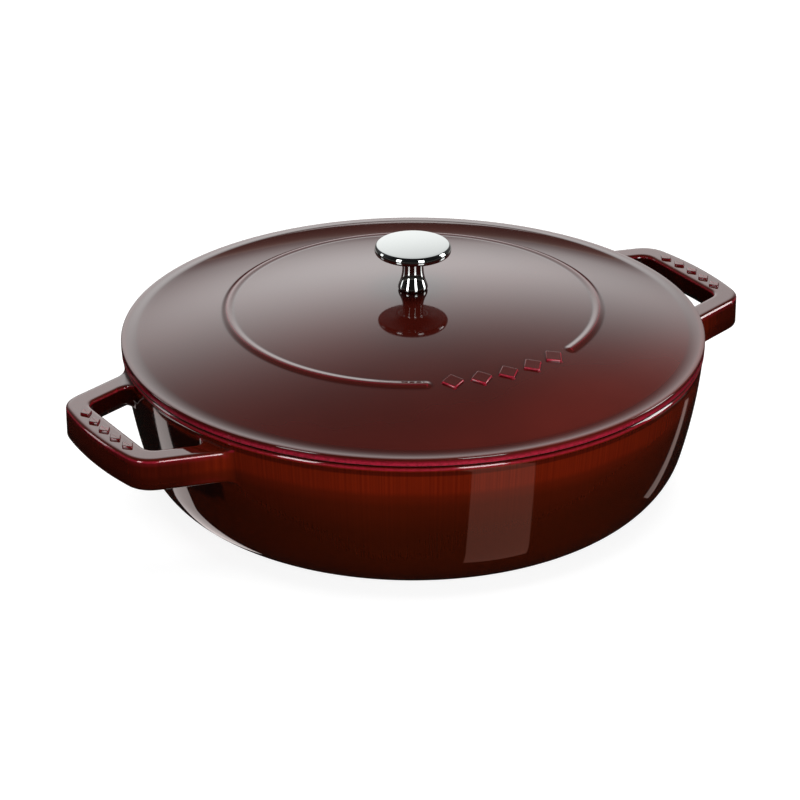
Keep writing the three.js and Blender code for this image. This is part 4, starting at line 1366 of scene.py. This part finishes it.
class PAN_OT_stage(bpy.types.Operator):
    """Set the camera, the lamps, the floor and the light behind the pan"""

    bl_idname = "pan.stage"
    bl_label = "Stage"

    def execute(self, context):
        settings = context.scene.pan_stage
        seat = context.scene.pan_lid.seat
        context.scene.view_settings.view_transform = "Standard"
        self.camera(context, settings, seat)
        for lamp in LAMPS:
            self.lamp(context, settings, *lamp)
        self.world(context, settings)
        self.floor()
        self.dark_card()
        for card in CARDS:
            self.bright_card(settings, *card)
        for strip in STRIPS:
            self.strip(settings, *strip)
        return {"FINISHED"}

    def camera(self, context, settings, seat):
        """Camera that looks at the lid's seat, turned a little aside."""
        yaw, pitch, roll = settings.yaw, settings.pitch, settings.roll
        right = Vector((cos(yaw), -sin(yaw), 0))
        ahead = Vector((sin(yaw) * cos(pitch), cos(yaw) * cos(pitch), -sin(pitch)))
        up = right.cross(ahead)
        leaned_right = right * cos(roll) + up * sin(roll)
        leaned_up = up * cos(roll) - right * sin(roll)
        axes = Matrix((leaned_right, leaned_up, -ahead)).transposed()
        spot = settings.distance * Vector((0, -cos(settings.elevation), sin(settings.elevation)))
        data = bpy.data.cameras.new("camera")
        data.sensor_width = 36
        data.lens = settings.lens
        data.clip_start = 0.05
        data.clip_end = 100
        camera = bpy.data.objects.new("camera", data)
        turned = view_turn(settings)
        place = Matrix.Translation(turned @ spot + Vector((0, 0, seat)))
        camera.matrix_world = place @ (turned @ axes).to_4x4()
        context.collection.objects.link(camera)
        context.scene.camera = camera

    def lamp(self, context, settings, name, turn, rise, distance, wide, high, bright):
        """Soft lamp that no mirror shows."""
        data = bpy.data.lights.new(name, "AREA")
        data.shape = "RECTANGLE"
        data.size, data.size_y = wide, high
        data.energy = bright * pi * wide * high
        lamp = bpy.data.objects.new(name, data)
        lamp.matrix_world = towards_pan(settings, turn, rise, distance)
        lamp.visible_camera = False
        lamp.visible_glossy = False
        context.collection.objects.link(lamp)

    def world(self, context, settings):
        """White to the camera, a soft glow low behind the pan to glossy rays, an even light to the rest."""
        world = bpy.data.worlds.new("studio")
        context.scene.world = world
        recipe = Recipe(world)
        way = recipe.add("TexCoord", output="Generated")
        turned = view_turn(settings)
        middle = radians(GLOW_AZIMUTH)
        forth = recipe.dot(way, tuple(turned @ Vector((sin(middle), cos(middle), 0))))
        aside = recipe.dot(way, tuple(turned @ Vector((cos(middle), -sin(middle), 0))))
        rise = recipe.math("ARCSINE", recipe.add("SeparateXYZ", {0: way}, output="Z"))
        turn = recipe.math("ARCTAN2", aside, forth)
        over = recipe.math("SUBTRACT", rise, radians(GLOW_ELEVATION))
        over = recipe.math("MULTIPLY_ADD", turn, GLOW_SLOPE, over)
        above = recipe.math("DIVIDE", recipe.math("MAXIMUM", over, 0.0), radians(GLOW_UP))
        below = recipe.math("DIVIDE", recipe.math("MINIMUM", over, 0.0), radians(GLOW_DOWN))
        tall = recipe.bell(recipe.math("ADD", above, below))
        wide = recipe.bell(recipe.math("DIVIDE", turn, radians(GLOW_ASIDE)))
        wide = recipe.math("MULTIPLY", wide, recipe.ease(rise, *map(radians, GLOW_HORIZON)))
        faint = recipe.span(forth, -0.3, 0.4, FAINT_FRONT, FAINT_BACK)
        glow = recipe.math("MULTIPLY_ADD", recipe.math("MULTIPLY", tall, wide), settings.glow, faint)
        path = recipe.add("LightPath").node.outputs
        mirrored = recipe.math("MAXIMUM", path["Is Glossy Ray"], path["Is Transmission Ray"])
        level = recipe.add("Mix", {0: mirrored, 2: settings.ambient, 3: glow})
        level = recipe.add("Mix", {0: path["Is Camera Ray"], 2: level, 3: 1.0})
        light = recipe.add("Background", {"Color": WHITE, "Strength": level})
        recipe.add("OutputWorld", {"Surface": light})

    def floor(self):
        """Pale floor, white to the camera and to mirrors, clear from below."""
        floor = disc("floor", 0)
        made, recipe = material("pale_floor")
        path = recipe.add("LightPath").node.outputs
        shown = recipe.math("MAXIMUM", path["Is Camera Ray"], path["Is Glossy Ray"])
        shown = recipe.math("MAXIMUM", shown, path["Is Transmission Ray"])
        diffuse = recipe.add("BsdfDiffuse", {"Color": (FLOOR_GREY, FLOOR_GREY, FLOOR_GREY, 1)})
        own = recipe.math("MULTIPLY", shown, FLOOR_SHOWN)
        own = recipe.add("Emission", {"Color": WHITE, "Strength": own})
        both = recipe.add("AddShader", {0: diffuse, 1: own})
        below = recipe.add("NewGeometry", output="Backfacing")
        surface = recipe.add("MixShader", {0: below, 1: both, 2: recipe.add("BsdfTransparent")})
        recipe.add("OutputMaterial", {"Surface": surface})
        floor.data.materials.append(made)

    def mirror_only(self, prop, made, recipe, tint, strength=1.0):
        """Gives a stage piece a light that only mirrors see."""
        light = recipe.add("Emission", {"Color": (*tint, 1), "Strength": strength})
        recipe.add("OutputMaterial", {"Surface": light})
        prop.data.materials.append(made)
        for kind in ("camera", "diffuse", "transmission", "volume_scatter", "shadow"):
            setattr(prop, "visible_" + kind, False)

    def dark_card(self):
        """Dark sheet round the pan that grows paler far away."""
        sheet = disc("dark_card", CARD_LEVEL)
        made, recipe = material("dark_sheet")
        place = recipe.add("TexCoord", output="Object")
        away = recipe.add("VectorMath", {0: place}, output="Value", operation="LENGTH")
        near, far = recipe.span(away, 0.3, 1.1, 0.008, 0.05), recipe.span(away, 1.1, 7, 0, 0.25)
        self.mirror_only(sheet, made, recipe, CARD_TINT, recipe.math("ADD", near, far))

    def bright_card(self, settings, name, turn, rise, wide, high, bright):
        """Upright bright card that faces the pan."""
        card = flat_card(name)
        place = towards_pan(settings, turn, rise, CARD_DISTANCE)
        card.data.transform(place @ Matrix.Diagonal((wide, high, 1, 1)))
        self.mirror_only(card, *material(name), (bright, bright, bright))

    def strip(self, settings, name, corners, tint):
        """Strip on the dark card that the wall and the lid mirror."""
        card = flat_card(name)
        for vertex, (right, away) in zip((0, 1, 3, 2), corners):
            place = Vector((right * MM, away * MM, STRIP_LEVEL))
            card.data.vertices[vertex].co = view_turn(settings) @ place
        self.mirror_only(card, *material(name), tint)


class PAN_PT_panel(bpy.types.Panel):
    """Sizes, colours and steps of the pan"""

    bl_idname = "PAN_PT_panel"
    bl_label = "Enamelled Pan"
    bl_space_type = "VIEW_3D"
    bl_region_type = "UI"
    bl_category = "Pan"

    def draw(self, context):
        for operator in OPERATORS:
            self.layout.operator(operator.bl_idname)
        for name, group in GROUPS.items():
            box = self.layout.box()
            box.label(text=group.__doc__)
            for key in group.__annotations__:
                box.prop(getattr(context.scene, name), key)


GROUPS = {
    "pan_pot": PotSizes,
    "pan_handle": HandleSizes,
    "pan_lid": LidSizes,
    "pan_knob": KnobSizes,
    "pan_fasteners": FastenerSizes,
    "pan_finishes": Finishes,
    "pan_stage": StageSettings,
}
OPERATORS = (PAN_OT_pot, PAN_OT_lid, PAN_OT_knob, PAN_OT_fasteners, PAN_OT_stage)


def register():
    """Registers the property groups, the operators and the panel."""
    for name, group in GROUPS.items():
        bpy.utils.register_class(group)
        setattr(bpy.types.Scene, name, PointerProperty(type=group))
    for operator in OPERATORS:
        bpy.utils.register_class(operator)
    bpy.utils.register_class(PAN_PT_panel)


def unregister():
    """Takes back what register made."""
    bpy.utils.unregister_class(PAN_PT_panel)
    for operator in reversed(OPERATORS):
        bpy.utils.unregister_class(operator)
    for name, group in reversed(GROUPS.items()):
        delattr(bpy.types.Scene, name)
        bpy.utils.unregister_class(group)


def main():
    """Makes every piece and the stage."""
    register()
    bpy.ops.pan.pot()
    bpy.ops.pan.lid()
    bpy.ops.pan.knob()
    bpy.ops.pan.fasteners()
    bpy.ops.pan.stage()


if __name__ == "__main__":
    main()
